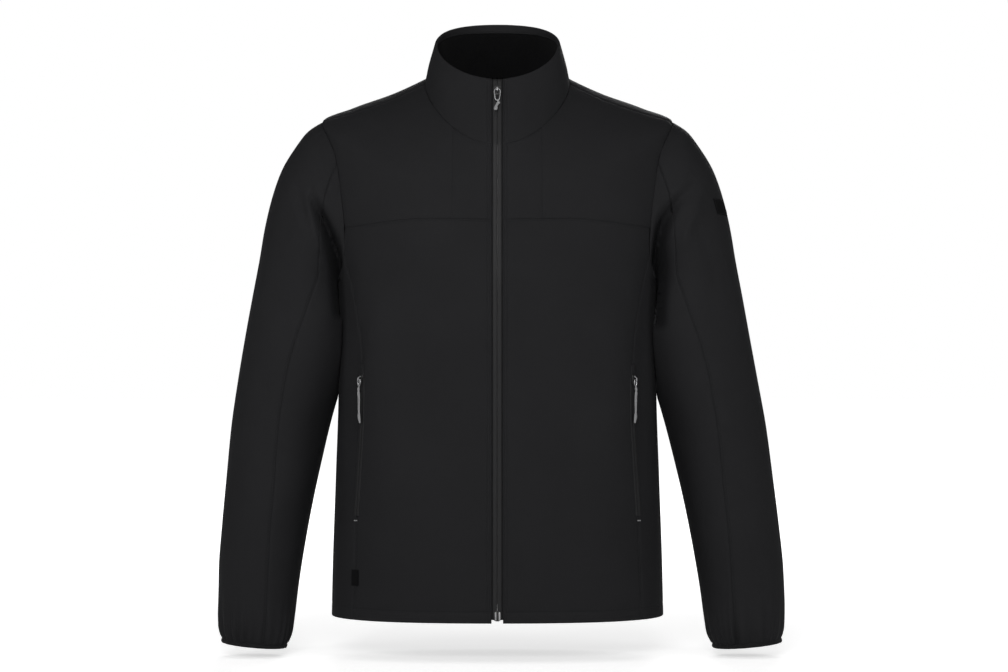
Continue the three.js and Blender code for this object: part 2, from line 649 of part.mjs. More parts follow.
// Front zip: a tape for each side, its edge raised over the coil behind
const ZIP_TOP_LOOP = -RIM + 0.04; // just under the collar's rim
const ZIP_BOX_TOP_Z = -673;
const zipEndLoop = placeAt(1, ZIP_BOX_TOP_Z)[0];
const panelLoops = join(steps(-RIM, 0, 4), steps(0, yokeFrontLoop, 4), steps(yokeFrontLoop, HEM, 13));
const onZip = (loop) => Math.min(Math.max(loop, ZIP_TOP_LOOP), zipEndLoop);
const zipLoops = [...new Set(panelLoops.map(onZip))];
const TAPE_PROFILE = [
  { x: 0.3, depth: 0.6 },
  { x: 4.9, depth: 0.6 },
  { x: 6, depth: WALL + BACK_GAP },
  { x: 14.5, depth: WALL + BACK_GAP },
];
const zipPoint = (loop, x, depth) => clothPoint([loop, angleAtWidth(loop, x)], depth);
const tapeGrid = (extra) =>
  zipLoops.map((loop) => TAPE_PROFILE.map(({ x, depth }) => zipPoint(loop, x, depth + extra)));
addPair("zip_tape", wall(tapeGrid(0), tapeGrid(TAPE_WALL)), ZIP_TAPE);

const COIL_HALF_WIDTH = 2.8;
const COIL_DEPTHS = [1.8, 3.8];
const coilGrid = (depth) =>
  zipLoops.map((loop) => [-COIL_HALF_WIDTH, COIL_HALF_WIDTH].map((x) => zipPoint(loop, x, depth)));
addPiece("zip_coil", wall(...COIL_DEPTHS.map(coilGrid)), ZIP_TAPE);

// The x of the side-front seam at a height.
const SEAM_SAMPLES = 200;
const sideFrontLine = new THREE.SplineCurve(SIDE_FRONT_SEAM.map(([x, z]) => new THREE.Vector2(x, z)))
  .getPoints(SEAM_SAMPLES);
const sideFrontX = (z) =>
  sideFrontLine.reduce((best, p) => (Math.abs(p.y - z) < Math.abs(best.y - z) ? p : best)).x;

// Pocket zips lie along the side-front seam
const pocketPlaces = steps(POCKET_TOP_Z, POCKET_BOTTOM_Z, 8).map((z) =>
  [-POCKET_ZIP_HALF_WIDTH, 0, POCKET_ZIP_HALF_WIDTH].map((side) => placeAt(sideFrontX(z) + side, z)),
);
const layOn = (places, depth, thickness) =>
  [-depth - thickness, -depth].map((d) => places.map((row) => row.map((place) => clothPoint(place, d))));
addPair("pocket_zip", wall(...layOn(pocketPlaces, LAY_GAP, POCKET_ZIP_WALL)), ZIP_TAPE);

// Solids cut and joined with manifold-3d
function toSolid(geometry) {
  const bare = geometry.index ? geometry.toNonIndexed() : geometry.clone();
  bare.deleteAttribute("normal");
  bare.deleteAttribute("uv");
  const merged = mergeVertices(bare, 1e-4);
  return new wasm.Manifold(
    new wasm.Mesh({
      numProp: 3,
      vertProperties: merged.attributes.position.array,
      triVerts: new Uint32Array(merged.index.array),
    }),
  );
}

function toGeometry(solid) {
  const mesh = solid.getMesh();
  const geometry = new THREE.BufferGeometry();
  geometry.setAttribute("position", new THREE.BufferAttribute(mesh.vertProperties.slice(), 3));
  geometry.setIndex(new THREE.BufferAttribute(mesh.triVerts.slice(), 1));
  return geometry;
}

const CURVE_SEGMENTS = 5;
const extruded = (shape, depth) =>
  new THREE.ExtrudeGeometry(shape, { depth, bevelEnabled: false, curveSegments: CURVE_SEGMENTS });

// A plate in the plane of x and z, from the depth y0 to y1.
const plate = (shape, y0, y1) => extruded(shape, y1 - y0).rotateX(Math.PI / 2).translate(0, y1, 0);

// An upright slot shape, round at both ends.
function slotShape(halfWidth, top, bottom) {
  const shape = new THREE.Shape();
  shape.absarc(0, top - halfWidth, halfWidth, 0, Math.PI, false);
  shape.absarc(0, bottom + halfWidth, halfWidth, Math.PI, 2 * Math.PI, false);
  return shape;
}

// Hardware is made in its own frame: x across, y into the garment from the cloth's face, z up the zip, with
// the origin at the pull's hinge line.
const HINGE_DEPTH = 4.6; // the hinge line stands this far out from the cloth
const SLIDER = { halfWidth: 4.6, tailHalfWidth: 3.2, length: 12, wall: 1.5 };
const BRIDGE = { halfWidth: 1.1, reach: 4.4, wall: 1.1, hole: 1.5, rooted: 0.5 };

function sliderSolid(faceDepth) {
  const face = HINGE_DEPTH + faceDepth;
  const body = new THREE.Shape();
  body.moveTo(-SLIDER.halfWidth, SLIDER.length / 2);
  body.lineTo(-SLIDER.tailHalfWidth, -SLIDER.length / 2);
  body.lineTo(SLIDER.tailHalfWidth, -SLIDER.length / 2);
  body.lineTo(SLIDER.halfWidth, SLIDER.length / 2);
  const base = toSolid(plate(body, face - SLIDER.wall, face));
  const foot = face - SLIDER.wall + BRIDGE.rooted;
  const arch = new THREE.Shape();
  arch.moveTo(-foot, -BRIDGE.reach);
  arch.lineTo(BRIDGE.hole + BRIDGE.wall, -BRIDGE.hole);
  arch.lineTo(BRIDGE.hole + BRIDGE.wall, BRIDGE.hole);
  arch.lineTo(-foot, BRIDGE.reach);
  const hole = new THREE.Path();
  hole.absarc(0, 0, BRIDGE.hole, 0, 2 * Math.PI, false);
  arch.holes.push(hole);
  const bridge = extruded(arch, 2 * BRIDGE.halfWidth).translate(0, 0, -BRIDGE.halfWidth);
  const upright = new THREE.Matrix4().makeBasis(
    new THREE.Vector3(0, -1, 0),
    new THREE.Vector3(0, 0, 1),
    new THREE.Vector3(-1, 0, 0),
  );
  return base.add(toSolid(bridge.applyMatrix4(upright)));
}

const RING = { top: 0.9, bar: 1.3, halfWall: 0.7 };
const CORD = { halfWall: 0.9, tucked: 1 }; // tucked is how far it runs into the grip
const GRIP_HALF_WALL = 1.5;

// The ring round the bridge, the cord and the moulded grip that ends it.
function pullSolid({ ringHalfWidth, ringLength, cordHalfWidth, gripTop, gripHalfWidth, length }) {
  const ring = slotShape(ringHalfWidth, RING.top, -ringLength);
  ring.holes.push(slotShape(ringHalfWidth - RING.bar, RING.top - RING.bar, -ringLength + RING.bar));
  const cordTop = -ringLength + RING.bar / 2;
  const cordEnd = gripTop - gripHalfWidth - CORD.tucked;
  const cord = new THREE.Shape()
    .moveTo(-cordHalfWidth, cordTop)
    .lineTo(-cordHalfWidth, cordEnd)
    .lineTo(cordHalfWidth, cordEnd)
    .lineTo(cordHalfWidth, cordTop);
  const grip = slotShape(gripHalfWidth, gripTop, -length);
  const [ringSolid, cordSolid, gripSolid] = [
    [ring, RING.halfWall],
    [cord, CORD.halfWall],
    [grip, GRIP_HALF_WALL],
  ].map(([shape, halfWall]) => toSolid(plate(shape, -halfWall, halfWall)));
  return ringSolid.add(cordSolid).add(gripSolid);
}

// A frame on the cloth: its place, moved out to the hinge line and turned with the cloth and its folds.
function hardwareFrame(place, downPlace) {
  const up = clothPoint(place).sub(clothPoint(downPlace)).normalize();
  const beside = (turn) => clothPoint([place[0], place[1] + turn * DEGREE]);
  const round = beside(3).sub(beside(-3));
  const normal = round.cross(up).normalize();
  const point = moved(clothPoint(place), normal, HINGE_DEPTH);
  const across = normal.clone().cross(up).negate().normalize();
  const inward = normal.negate();
  return new THREE.Matrix4().makeBasis(across, inward, across.clone().cross(inward)).setPosition(point);
}

const FRONT_PULL = {
  ringHalfWidth: 4.6,
  ringLength: 16,
  cordHalfWidth: 1.6,
  gripTop: -17,
  gripHalfWidth: 2.8,
  length: 30,
};
const POCKET_PULL = {
  ringHalfWidth: 3.6,
  ringLength: 9,
  cordHalfWidth: 1.6,
  gripTop: -43,
  gripHalfWidth: 2.4,
  length: 56,
};
const FRONT_SLIDER_LOOP = -2.42;
const PULL_REACH_LOOPS = 0.7; // the cloth under the pull, which it hangs along
const frontFrame = hardwareFrame([FRONT_SLIDER_LOOP, 0], [FRONT_SLIDER_LOOP + PULL_REACH_LOOPS, 0]);
const tapeFace = TAPE_PROFILE[0].depth - LAY_GAP;
addPiece("zip_slider", toGeometry(sliderSolid(tapeFace)), GREY_METAL, { frame: frontFrame });
addPiece("zip_pull", toGeometry(pullSolid(FRONT_PULL)), GREY_PULL, { frame: frontFrame });

const pocketFace = -LAY_GAP - POCKET_ZIP_WALL - LAY_GAP;
const onSideFrontSeam = (z) => placeAt(sideFrontX(z), z);
const pocketFrame = hardwareFrame(
  onSideFrontSeam(POCKET_SLIDER_Z),
  onSideFrontSeam(POCKET_SLIDER_Z - POCKET_PULL.length),
);
addPair("pocket_slider", toGeometry(sliderSolid(pocketFace)), GREY_METAL, pocketFrame);
addPair("pocket_pull", toGeometry(pullSolid(POCKET_PULL)), GREY_PULL, pocketFrame);

// The retainer box and pin at the foot of the front zip
const ZIP_BOX = { halfWidth: 4.3, top: ZIP_BOX_TOP_Z - 0.4, bottom: -686, front: -0.4, back: 3 };
const GROOVE = { halfWidth: 0.8, depth: 1, fromTop: 3, fromBottom: 2 };
const boxCentre = clothPoint([HEM, 0]);
const boxShape = slotShape(ZIP_BOX.halfWidth, ZIP_BOX.top, ZIP_BOX.bottom);
const grooveShape = slotShape(
  GROOVE.halfWidth,
  ZIP_BOX.top - GROOVE.fromTop,
  ZIP_BOX.bottom + GROOVE.fromBottom,
);
const zipBox = toSolid(plate(boxShape, ZIP_BOX.front, ZIP_BOX.back)).subtract(
  toSolid(plate(grooveShape, ZIP_BOX.front - GROOVE.depth, ZIP_BOX.front + GROOVE.depth)),
);
addPiece("zip_box", toGeometry(zipBox).translate(0, boxCentre.y, 0), GREY_METAL);

// The woven label on the wearer's left arm, bent to the sleeve
const LABEL_SIZE = { middleY: -36, middleZ: -164, halfWidth: 14, halfHeight: 10 };

// The loop and degrees of the sleeve's outer side at y and z, by Newton's method from a place near it.
function sleevePlace(y, z) {
  const step = NORMAL_STEP;
  let [loop, degrees] = [4, 60];
  for (let round = 0; round < 12; round++) {
    const at = sleevePoint(loop, degrees);
    const byLoop = sleevePoint(loop + step, degrees).sub(at).divideScalar(step);
    const byTurn = sleevePoint(loop, degrees + step).sub(at).divideScalar(step);
    const size = byLoop.y * byTurn.z - byLoop.z * byTurn.y;
    loop += ((y - at.y) * byTurn.z - (z - at.z) * byTurn.y) / size;
    degrees += (byLoop.y * (z - at.z) - byLoop.z * (y - at.y)) / size;
  }
  return [loop, degrees];
}
const labelGrid = (lift) =>
  steps(LABEL_SIZE.halfHeight, -LABEL_SIZE.halfHeight, 2).map((dz) =>
    steps(-LABEL_SIZE.halfWidth, LABEL_SIZE.halfWidth, 4).map((dy) => {
      const [loop, degrees] = sleevePlace(LABEL_SIZE.middleY + dy, LABEL_SIZE.middleZ + dz);
      const point = sleevePoint(loop, degrees);
      const down = sleevePoint(loop + 0.1, degrees).sub(point);
      const round = sleevePoint(loop, degrees + 1).sub(point);
      return moved(point, down.cross(round).normalize(), lift + foldHeight(SLEEVE_FOLDS, loop, degrees));
    }),
  );
addPiece("sleeve_label", wall(labelGrid(LAY_GAP + PATCH_WALL), labelGrid(LAY_GAP)), LABEL);

// The small folded tag on the wearer's right side-front seam
const TAG = { x: -180.5, z: -636, halfWidth: 4.5, halfHeight: 10 };
const tagPlaces = steps(TAG.halfHeight, -TAG.halfHeight, 2).map((dz) =>
  [-1, 0, 1].map((side) => placeAt(TAG.x + side * TAG.halfWidth, TAG.z + dz)),
);
addPiece("hem_tag", wall(...layOn(tagPlaces, LAY_GAP, PATCH_WALL)), LABEL);

export default jacket;
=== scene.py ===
# %% [markdown]
# # A softshell jacket, dressed in Blender
# The jacket's pieces already stand in the frame as plain thin walls, one for each piece that a maker cuts.
# This lesson gives them their looks. Each cloth piece is made again as a fine grid on the same curved
# surface, so that its seams can sink, its folds can roll and its edges can turn over. Then come the
# stitches, the zips, the pullers, the finishes, and the light.

# %% Load the frame
import math

import bpy
import numpy as np
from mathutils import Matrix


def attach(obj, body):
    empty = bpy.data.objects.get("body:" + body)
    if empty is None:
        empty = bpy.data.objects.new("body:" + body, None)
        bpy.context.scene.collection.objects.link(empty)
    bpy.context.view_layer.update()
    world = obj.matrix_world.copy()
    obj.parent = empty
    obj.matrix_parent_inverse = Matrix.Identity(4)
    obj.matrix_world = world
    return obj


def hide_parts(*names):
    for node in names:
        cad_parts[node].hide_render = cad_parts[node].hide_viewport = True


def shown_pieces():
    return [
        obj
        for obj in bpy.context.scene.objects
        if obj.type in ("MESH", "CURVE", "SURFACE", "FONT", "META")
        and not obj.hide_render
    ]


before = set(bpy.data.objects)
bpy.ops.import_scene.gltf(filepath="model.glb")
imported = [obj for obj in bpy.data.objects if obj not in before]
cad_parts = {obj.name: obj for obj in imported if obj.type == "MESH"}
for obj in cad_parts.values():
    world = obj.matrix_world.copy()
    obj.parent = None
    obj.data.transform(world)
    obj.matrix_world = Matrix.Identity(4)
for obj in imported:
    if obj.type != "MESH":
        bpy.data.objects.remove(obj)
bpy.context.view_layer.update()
METRES_PER_MM = 0.001

# %% [markdown]
# ## The camera
# The photograph is level and straight on, from so far away that the jacket hardly narrows with depth. A
# lens of 96 mm at three and a half metres does that. It stands at the height of the jacket's middle, and a
# hair to one side of the zip, as the picture shows.

# %% Camera
CAMERA_PLACE = (0.00845, -3.5, -0.329)
CAMERA_LENS = 96.2

camera_data = bpy.data.cameras.new("camera")
camera_data.lens = CAMERA_LENS
camera_data.sensor_width = 36
camera = bpy.data.objects.new("camera", camera_data)
camera.location = CAMERA_PLACE
camera.rotation_euler = (math.pi / 2, 0, 0)
bpy.context.scene.collection.objects.link(camera)
bpy.context.scene.camera = camera
print("camera", CAMERA_PLACE, "lens", CAMERA_LENS)

# %% [markdown]
# ## The measures
# The body is one surface from the collar's rim to the hem, given by level loops. A loop is a superellipse:
# an ellipse whose corners fill out as its power rises. Each row of the table gives one loop's half width,
# its depth to the front and the back, its middle, its height at the front, side and back, and its power.
# All lengths are in millimetres, and they turn to metres only when a mesh is made.

# %% Loops of the body and collar
HALF_WIDTH, FRONT, BACK, MIDDLE, Z_FRONT, Z_SIDE, Z_BACK, POWER = range(8)
NECK_ROW = [94, 93, 72, -12, -87, -3, 8, 2]
BODY_LOOPS = np.array([
    NECK_ROW,
    [140, 98, 88, -9, -103, -20, -26, 2],
    [188, 104, 100, -6, -122, -35, -58, 2.05],
    [228, 110, 109, -3, -146, -53, -104, 2.15],
    [229, 116, 116, 0, -180, -110, -150, 2.35],
    [219, 121, 121, 0, -222, -186, -206, 2.5],
    [206.5, 124, 123, 0, -270, -262, -266, 2.5],
    [205, 124, 121, 0, -330, -330, -330, 2.5],
    [206.5, 122, 118, 0, -420, -420, -420, 2.5],
    [210, 121, 118, 0, -520, -520, -520, 2.5],
    [213.5, 122, 120, 0, -620, -620, -620, 2.45],
    [215, 123, 122, 0, -687, -687, -687, 2.4],
])
COLLAR_LOOPS = np.array([
    NECK_ROW,
    [90, 84, 70.5, -10.5, -58, 17, 33, 2],
    [85.5, 75.5, 69, -9, -29, 34, 58, 2],
    [81, 67, 68, -8, -1, 50, 82, 2],
])
SHOULDER_LOOP = 3
UNDERARM_LOOP = 6
HEM_LOOP = len(BODY_LOOPS) - 1
RIM_LOOP = 1 - len(COLLAR_LOOPS)  # the collar's loops count down from the neck seam
DEGREE = math.pi / 180
HEM_DROP, HEM_DROP_FROM = 2.8, 10.2  # how far the hem is let down, and the loop from which that begins
HALVINGS = 40


def cubic(a, b, leave, arrive, t):
    """The cubic from a to b that leaves a and arrives at b with these slopes, at the share t of its time."""
    bend = 3 * (b - a) - 2 * leave - arrive
    twist = 2 * (a - b) + leave + arrive
    return a + t * (leave + t * (bend + t * twist))


def read_rows(table, at):
    """The table's columns at fractional rows: between two rows a cubic, whose slope at each row is the
    harmonic mean of the steps on its two sides, or nought where they differ in sign."""
    at = np.asarray(at, float)
    last = len(table) - 1
    longer = np.vstack([2 * table[0] - table[1], table, 2 * table[-1] - table[-2]])
    step = np.diff(longer, axis=0)
    into, out = step[:-1], step[1:]
    rises = into * out > 0
    slope = np.where(rises, 2 * into * out / np.where(rises, into + out, 1), 0)
    row = np.clip(np.floor(at).astype(int), 0, last - 1)
    t = (at - row)[..., None]
    return cubic(table[row], table[row + 1], slope[row], slope[row + 1], t)


def loop_rows(loop):
    """Rows of the body's table below the neck seam, and of the collar's above it."""
    loop = np.asarray(loop, float)[..., None]
    body = read_rows(BODY_LOOPS, np.maximum(loop[..., 0], 0))
    collar = read_rows(COLLAR_LOOPS, np.maximum(-loop[..., 0], 0))
    return np.where(loop < 0, collar, body)


print("loops:", len(BODY_LOOPS), "on the body,", len(COLLAR_LOOPS), "on the collar")

# %% [markdown]
# ## A point on the cloth
# A place on the body is a loop and an angle, from the centre front round by the wearer's left. From a place
# come a point in space, the way the cloth faces there, and the height of any fold that passes.

# %% Body surface


def signed_power(value, power, least=0):
    """The value's sign times its size to a power, where the size counts as no less than least."""
    return np.sign(value) * np.maximum(np.abs(value), least) ** power


def rounded_turn(angle, power):
    """Sine and cosine of a superellipse: the sign of each, times its size to the power two over power."""
    return signed_power(np.sin(angle), 2 / power), signed_power(np.cos(angle), 2 / power)


def body_point(place):
    """x is the half width times the sine, y the middle less the depth times the cosine, and z a parabola in
    the plain cosine that passes through the loop's heights at front, side and back."""
    row = loop_rows(place[..., 0])
    angle = place[..., 1]
    across, ahead = rounded_turn(angle, row[..., POWER])
    level = np.cos(angle)
    tilt = (row[..., Z_FRONT] - row[..., Z_BACK]) / 2
    sag = (row[..., Z_FRONT] + row[..., Z_BACK]) / 2 - row[..., Z_SIDE]
    depth = np.where(ahead > 0, row[..., FRONT], row[..., BACK])
    x = row[..., HALF_WIDTH] * across
    y = row[..., MIDDLE] - depth * ahead
    return np.stack([x, y, row[..., Z_SIDE] + tilt * level + sag * level * level], -1)


def unit(vectors):
    """Each vector divided by its length."""
    return vectors / np.maximum(np.linalg.norm(vectors, axis=-1, keepdims=True), 1e-12)


def body_normal(place, step=0.01):
    """The step down crossed with the step round, each a small difference about the place."""
    down = body_point(place + [step, 0]) - body_point(place - [step, 0])
    around = body_point(place + [0, step]) - body_point(place - [0, step])
    return unit(np.cross(down, around))


def angle_at_width(loop, x, on_back=False):
    """The angle at which a loop is x wide: the inverse of the superellipse's sine."""
    row = loop_rows(loop)
    share = np.minimum(1, np.abs(x) / row[..., HALF_WIDTH]) ** (row[..., POWER] / 2)
    angle = np.arcsin(share)
    return np.sign(x) * (np.pi - angle if on_back else angle)


def place_at(x, z, on_back=False):
    """The place that shows at x and z: the loop is found by halving, as z falls steadily down the body."""
    x, z = np.broadcast_arrays(np.asarray(x, float), np.asarray(z, float))
    above, below = np.zeros(x.shape), np.full(x.shape, float(HEM_LOOP))
    for _ in range(HALVINGS):
        loop = (above + below) / 2
        height = body_point(np.stack([loop, angle_at_width(loop, x, on_back)], -1))[..., 2]
        above, below = np.where(height > z, loop, above), np.where(height > z, below, loop)
    return np.stack([above, angle_at_width(above, x, on_back)], -1)


print("chest point:", np.round(body_point(np.array([5.0, 0.0])), 1))

# %% [markdown]
# ## Folds
# Softshell is bonded and springy, so it makes few folds, and they are broad. Each is a soft ridge or trough
# given by how high it is, where its middle lies, how far it reaches along the body and round it, and
# how it leans. The two sides get folds of their own, so that the jacket isn't its own mirror image.

# %% Folds of the body
LEFT, BOTH, RIGHT = 1, 0, -1
SIDES = ((LEFT, "left"), (RIGHT, "right"))
BODY_FOLDS = np.array([
    # loop, angle, slant, length, width, height, side
    [7.2, 44, -3, 1.6, 11, 4.5, BOTH],
    [7.6, 62, -2, 1.5, 8, -3.8, BOTH],
    [9.6, 33, 2, 1.3, 13, 2.6, BOTH],
    [6.8, 128, 5, 1.4, 11, 3, BOTH],
    [7.6, 112, 3, 1.2, 8, -2.5, BOTH],
    [8.8, 158, -2, 1.5, 13, 2.2, BOTH],
    [6.9, 53, 6, 0.9, 4.5, -2, RIGHT],
    [6.3, 47, 9, 0.9, 5.5, -1.8, LEFT],
    [7.4, 31, 7, 0.8, 5, -1.3, LEFT],
    [5.2, 58, 12, 0.5, 5, -1.1, LEFT],
    [5.6, 66, 10, 0.5, 5, 1, RIGHT],
    [4.4, 46, 20, 0.6, 7, -1, RIGHT],
    [8.4, 24, -4, 0.9, 7, -1.1, LEFT],
    [8.9, 20, 5, 0.7, 6, 0.9, RIGHT],
    [9.8, 52, 7, 0.6, 6, -1, RIGHT],
    [10.2, 70, -8, 0.5, 8, 0.8, LEFT],
    [5.0, 136, -14, 0.6, 7, -1, BOTH],
    [6.3, 150, -9, 0.5, 8, 0.9, LEFT],
    [6.9, 168, 11, 0.4, 9, -0.8, RIGHT],
    [9.9, 140, 6, 0.8, 8, -0.9, LEFT],
])


def fold_height(folds, loop, degrees, side):
    """Each fold adds its height times a bell in the distance along it and a bell in the distance across."""
    total = np.zeros(np.broadcast(loop, degrees).shape)
    for at_loop, at_angle, slant, length, width, height, fold_side in folds:
        if fold_side in (BOTH, side):
            along = (loop - at_loop) / length
            turn = (degrees - at_angle - slant * (loop - at_loop)) / width
            total = total + height * np.exp(-along * along - turn * turn)
    return total


def folds_at(folds, place):
    """The folds of the side that each place lies on, by its angle from the centre front."""
    degrees = np.abs(2 * np.arcsin(np.sin(place[..., 1] / 2))) / DEGREE
    on_left, on_right = (fold_height(folds, place[..., 0], degrees, side) for side in (LEFT, RIGHT))
    return np.where(np.sin(place[..., 1]) >= 0, on_left, on_right)


def cloth_point(place, depth=0):
    """The body's point, moved along its normal by the folds' height less the depth, and let down a little
    towards the hem by the square of the way from where the drop begins. The collar has no folds."""
    lift = np.where(place[..., 0] > 0, folds_at(BODY_FOLDS, place), 0) - depth
    share = np.clip((place[..., 0] - HEM_DROP_FROM) / (HEM_LOOP - HEM_DROP_FROM), 0, 1)
    drop = np.stack([0 * share, 0 * share, HEM_DROP * share * share], -1)
    return body_point(place) + body_normal(place) * lift[..., None] - drop


print("folds:", len(BODY_FOLDS), "highest", BODY_FOLDS[:, 5].max(), "mm")

# %% [markdown]
# ## Seams
# A seam is a line of places that the panels on both sides share. Most are drawn as a tailor would, by a few
# points on the flat view, with a smooth curve through them. The armhole is a closed curve of its own: it
# starts at the sleeve's front seam, goes over the shoulder, down the back and round under the arm.

# %% Seam lines
FRONT_EDGE_X = 7.2
YOKE_SEAM_X = 57
YOKE_SEAM = [(57, -181), (98, -181), (136, -184), (166, -188), (195, -191)]
SIDE_FRONT_SEAM = [
    (195.5, -228), (188, -258), (180, -297), (174, -340), (171, -385),
    (172, -435), (176, -495), (180, -560), (182, -620), (184, -687),
]
SIDE_BACK_SEAM = [
    (197, -228), (189, -262), (181, -305), (173, -370), (170, -450), (174, -550), (180, -687),
]


def spline(points, count):
    """A smooth curve through the points: between two of them a cubic whose end slopes are half the step
    between each point's neighbours."""
    points = np.asarray(points, float)
    t = np.linspace(0, len(points) - 1, count)
    k = np.minimum(t.astype(int), len(points) - 2)
    t = (t - k)[:, None]
    before, a = points[np.maximum(k - 1, 0)], points[k]
    b, after = points[k + 1], points[np.minimum(k + 2, len(points) - 1)]
    return cubic(a, b, (b - before) / 2, (after - a) / 2, t)


def seam(points, on_back=False, count=160):
    """The places under a smooth curve that is drawn on the flat view."""
    line = spline(points, count)
    return place_at(line[:, 0], line[:, 1], on_back)


def along_loops(first, last, x, count=120):
    """Places that keep one distance from the centre line, from one loop to another."""
    loops = np.linspace(first, last, count)
    return np.stack([loops, angle_at_width(loops, x)], -1)


def along_loop(loop, first, last, count=80):
    """Places on one loop, from one angle to another."""
    return np.stack([np.full(count, float(loop)), np.linspace(first, last, count)], -1)


yoke_front_loop = place_at(FRONT_EDGE_X, -182)[0]
yoke_centre_seam = seam([(FRONT_EDGE_X, -182), (YOKE_SEAM_X, -181)])
yoke_side_seam = seam(YOKE_SEAM)
upright_seam = along_loops(0, yoke_side_seam[0, 0], YOKE_SEAM_X)
side_front_seam = seam(SIDE_FRONT_SEAM)
side_back_seam = seam(SIDE_BACK_SEAM, on_back=True)
shoulder_seam = spline(np.array([[0, 90 * DEGREE], [1.5, 82 * DEGREE], [SHOULDER_LOOP, 83 * DEGREE]]), 80)
neck_angles = {
    "front edge": float(angle_at_width(0, FRONT_EDGE_X)),
    "upright seam": float(angle_at_width(0, YOKE_SEAM_X)),
}
print("yoke seam from loop", round(float(yoke_front_loop), 2), "to", np.round(yoke_side_seam[-1], 2))

# %% Armhole
ARMHOLE_KNOTS = [
    # name, place, how many steps lead on to the next knot
    ("front sleeve seam", place_at(205, -110), 2),
    ("front of shoulder", place_at(212.5, -85), 2),
    ("shoulder seam", (SHOULDER_LOOP, 83 * DEGREE), 1),
    ("behind shoulder seam", (SHOULDER_LOOP - 0.03, 94 * DEGREE), 2),
    ("back of shoulder", place_at(214, -84, True), 3),
    ("shoulder blade", place_at(203.5, -124, True), 3),
    ("back sleeve seam", place_at(197, -176, True), 2),
    ("side back seam", place_at(197, -228, True), 2),
    ("behind underarm", (UNDERARM_LOOP - 0.13, 104 * DEGREE), 2),
    ("underarm", (UNDERARM_LOOP, 90 * DEGREE), 2),
    ("before underarm", (UNDERARM_LOOP - 0.13, 76 * DEGREE), 2),
    ("side front seam", place_at(195.5, -228), 1),
    ("yoke seam", place_at(195, -191), 2),
    ("chest", place_at(199, -150), 2),
]
armhole_names = [name for name, _, _ in ARMHOLE_KNOTS]
armhole_knots = np.array([np.asarray(place, float) for _, place, _ in ARMHOLE_KNOTS])
armhole_starts = np.cumsum([0] + [edges for _, _, edges in ARMHOLE_KNOTS])
ARMHOLE_STEPS = int(armhole_starts[-1])


def armhole_at(step):
    """Places at fractional steps round the armhole: a closed centripetal Catmull-Rom curve, whose knots are
    as far apart in time as the square root of their distance."""
    step = np.asarray(step, float) % ARMHOLE_STEPS
    k = np.clip(np.searchsorted(armhole_starts, step, side="right") - 1, 0, len(armhole_knots) - 1)
    t = ((step - armhole_starts[k]) / (armhole_starts[k + 1] - armhole_starts[k]))[..., None]
    before, a, b, after = (armhole_knots[(k + n) % len(armhole_knots)] for n in (-1, 0, 1, 2))
    first, middle, last = (
        np.linalg.norm(end - start, axis=-1, keepdims=True) ** 0.5
        for start, end in ((before, a), (a, b), (b, after))
    )
    leave = middle * ((a - before) / first - (b - before) / (first + middle) + (b - a) / middle)
    arrive = middle * ((b - a) / middle - (after - a) / (middle + last) + (after - b) / last)
    return cubic(a, b, leave, arrive, t)


def armhole_step(name):
    """The whole step at which a named knot lies."""
    return int(armhole_starts[armhole_names.index(name)])


def armhole_between(start, end, count=100):
    """The armhole's places from one named knot on to another, in its own direction."""
    first = armhole_step(start)
    steps = (armhole_step(end) - first) % ARMHOLE_STEPS
    return armhole_at(np.linspace(first, first + steps, count))


armhole_line = cloth_point(armhole_at(np.linspace(0, ARMHOLE_STEPS, 400)))
print("armhole round:", round(np.linalg.norm(np.diff(armhole_line, axis=0), axis=1).sum()), "mm")

# %% [markdown]
# ## A panel between four seams
# A panel is filled in between its four sides, as a Coons patch: the mean of the two ways of joining opposite
# sides, less the corners that both count. The grid is close at the edges, where the cloth rolls over, and
# open in the middle, where it only curves. Distances are measured on the cloth itself, so that a row of
# stitches can lie two millimetres from a seam everywhere.

# %% Filling a panel
OPEN_STEP = 6
EDGE_STEPS = np.array([0, 0.1, 0.3, 0.6, 0.9, 1.4, 2, 2.8, 4, 5.6, 8])
STITCH_STEPS = np.array([-1, -0.5, 0, 0.5, 1])
CORNER_ROOM = 0.4  # no other step comes nearer than this to a corner


def lengths_along(points):
    """How far each point of a line lies from its start, added up from point to point."""
    gaps = np.linalg.norm(np.diff(points, axis=0), axis=-1)
    return np.concatenate([[0], np.cumsum(gaps)])


def joined(*sections):
    """One line from several, and the shares of its length at which they meet."""
    line = np.concatenate([sections[0]] + [section[1:] for section in sections[1:]])
    reach = lengths_along(cloth_point(line))
    ends = np.cumsum([len(section) - 1 for section in sections])[:-1]
    length = reach[-1]
    return {"line": line, "share": reach / length, "length": length, "corners": reach[ends] / length}


def spaced(length, near_start, near_end, corners=(), step=OPEN_STEP):
    """Shares of a length: close together at both ends and about the stitch lines, then even, and with every
    corner among them."""
    close = [EDGE_STEPS] + [line + STITCH_STEPS for line in near_start]
    close_end = [EDGE_STEPS] + [line + STITCH_STEPS for line in near_end]
    first = np.unique(np.concatenate(close))
    last = length - np.unique(np.concatenate(close_end))[::-1]
    first, last = first[first < length / 2], last[last > length / 2]
    count = max(2, round((last[0] - first[-1]) / step))
    even = np.linspace(first[-1], last[0], count + 1)[1:-1]
    marks = np.asarray(corners, float) * length
    steps = np.concatenate([first, even, last])
    if len(marks):
        steps = steps[np.abs(steps[:, None] - marks).min(1) > CORNER_ROOM]
    return np.unique(np.concatenate([[0], steps, marks, [length]])) / length


def at_shares(side, shares):
    """A side's places at shares of its length."""
    return np.stack([np.interp(shares, side["share"], side["line"][:, k]) for k in range(2)], -1)


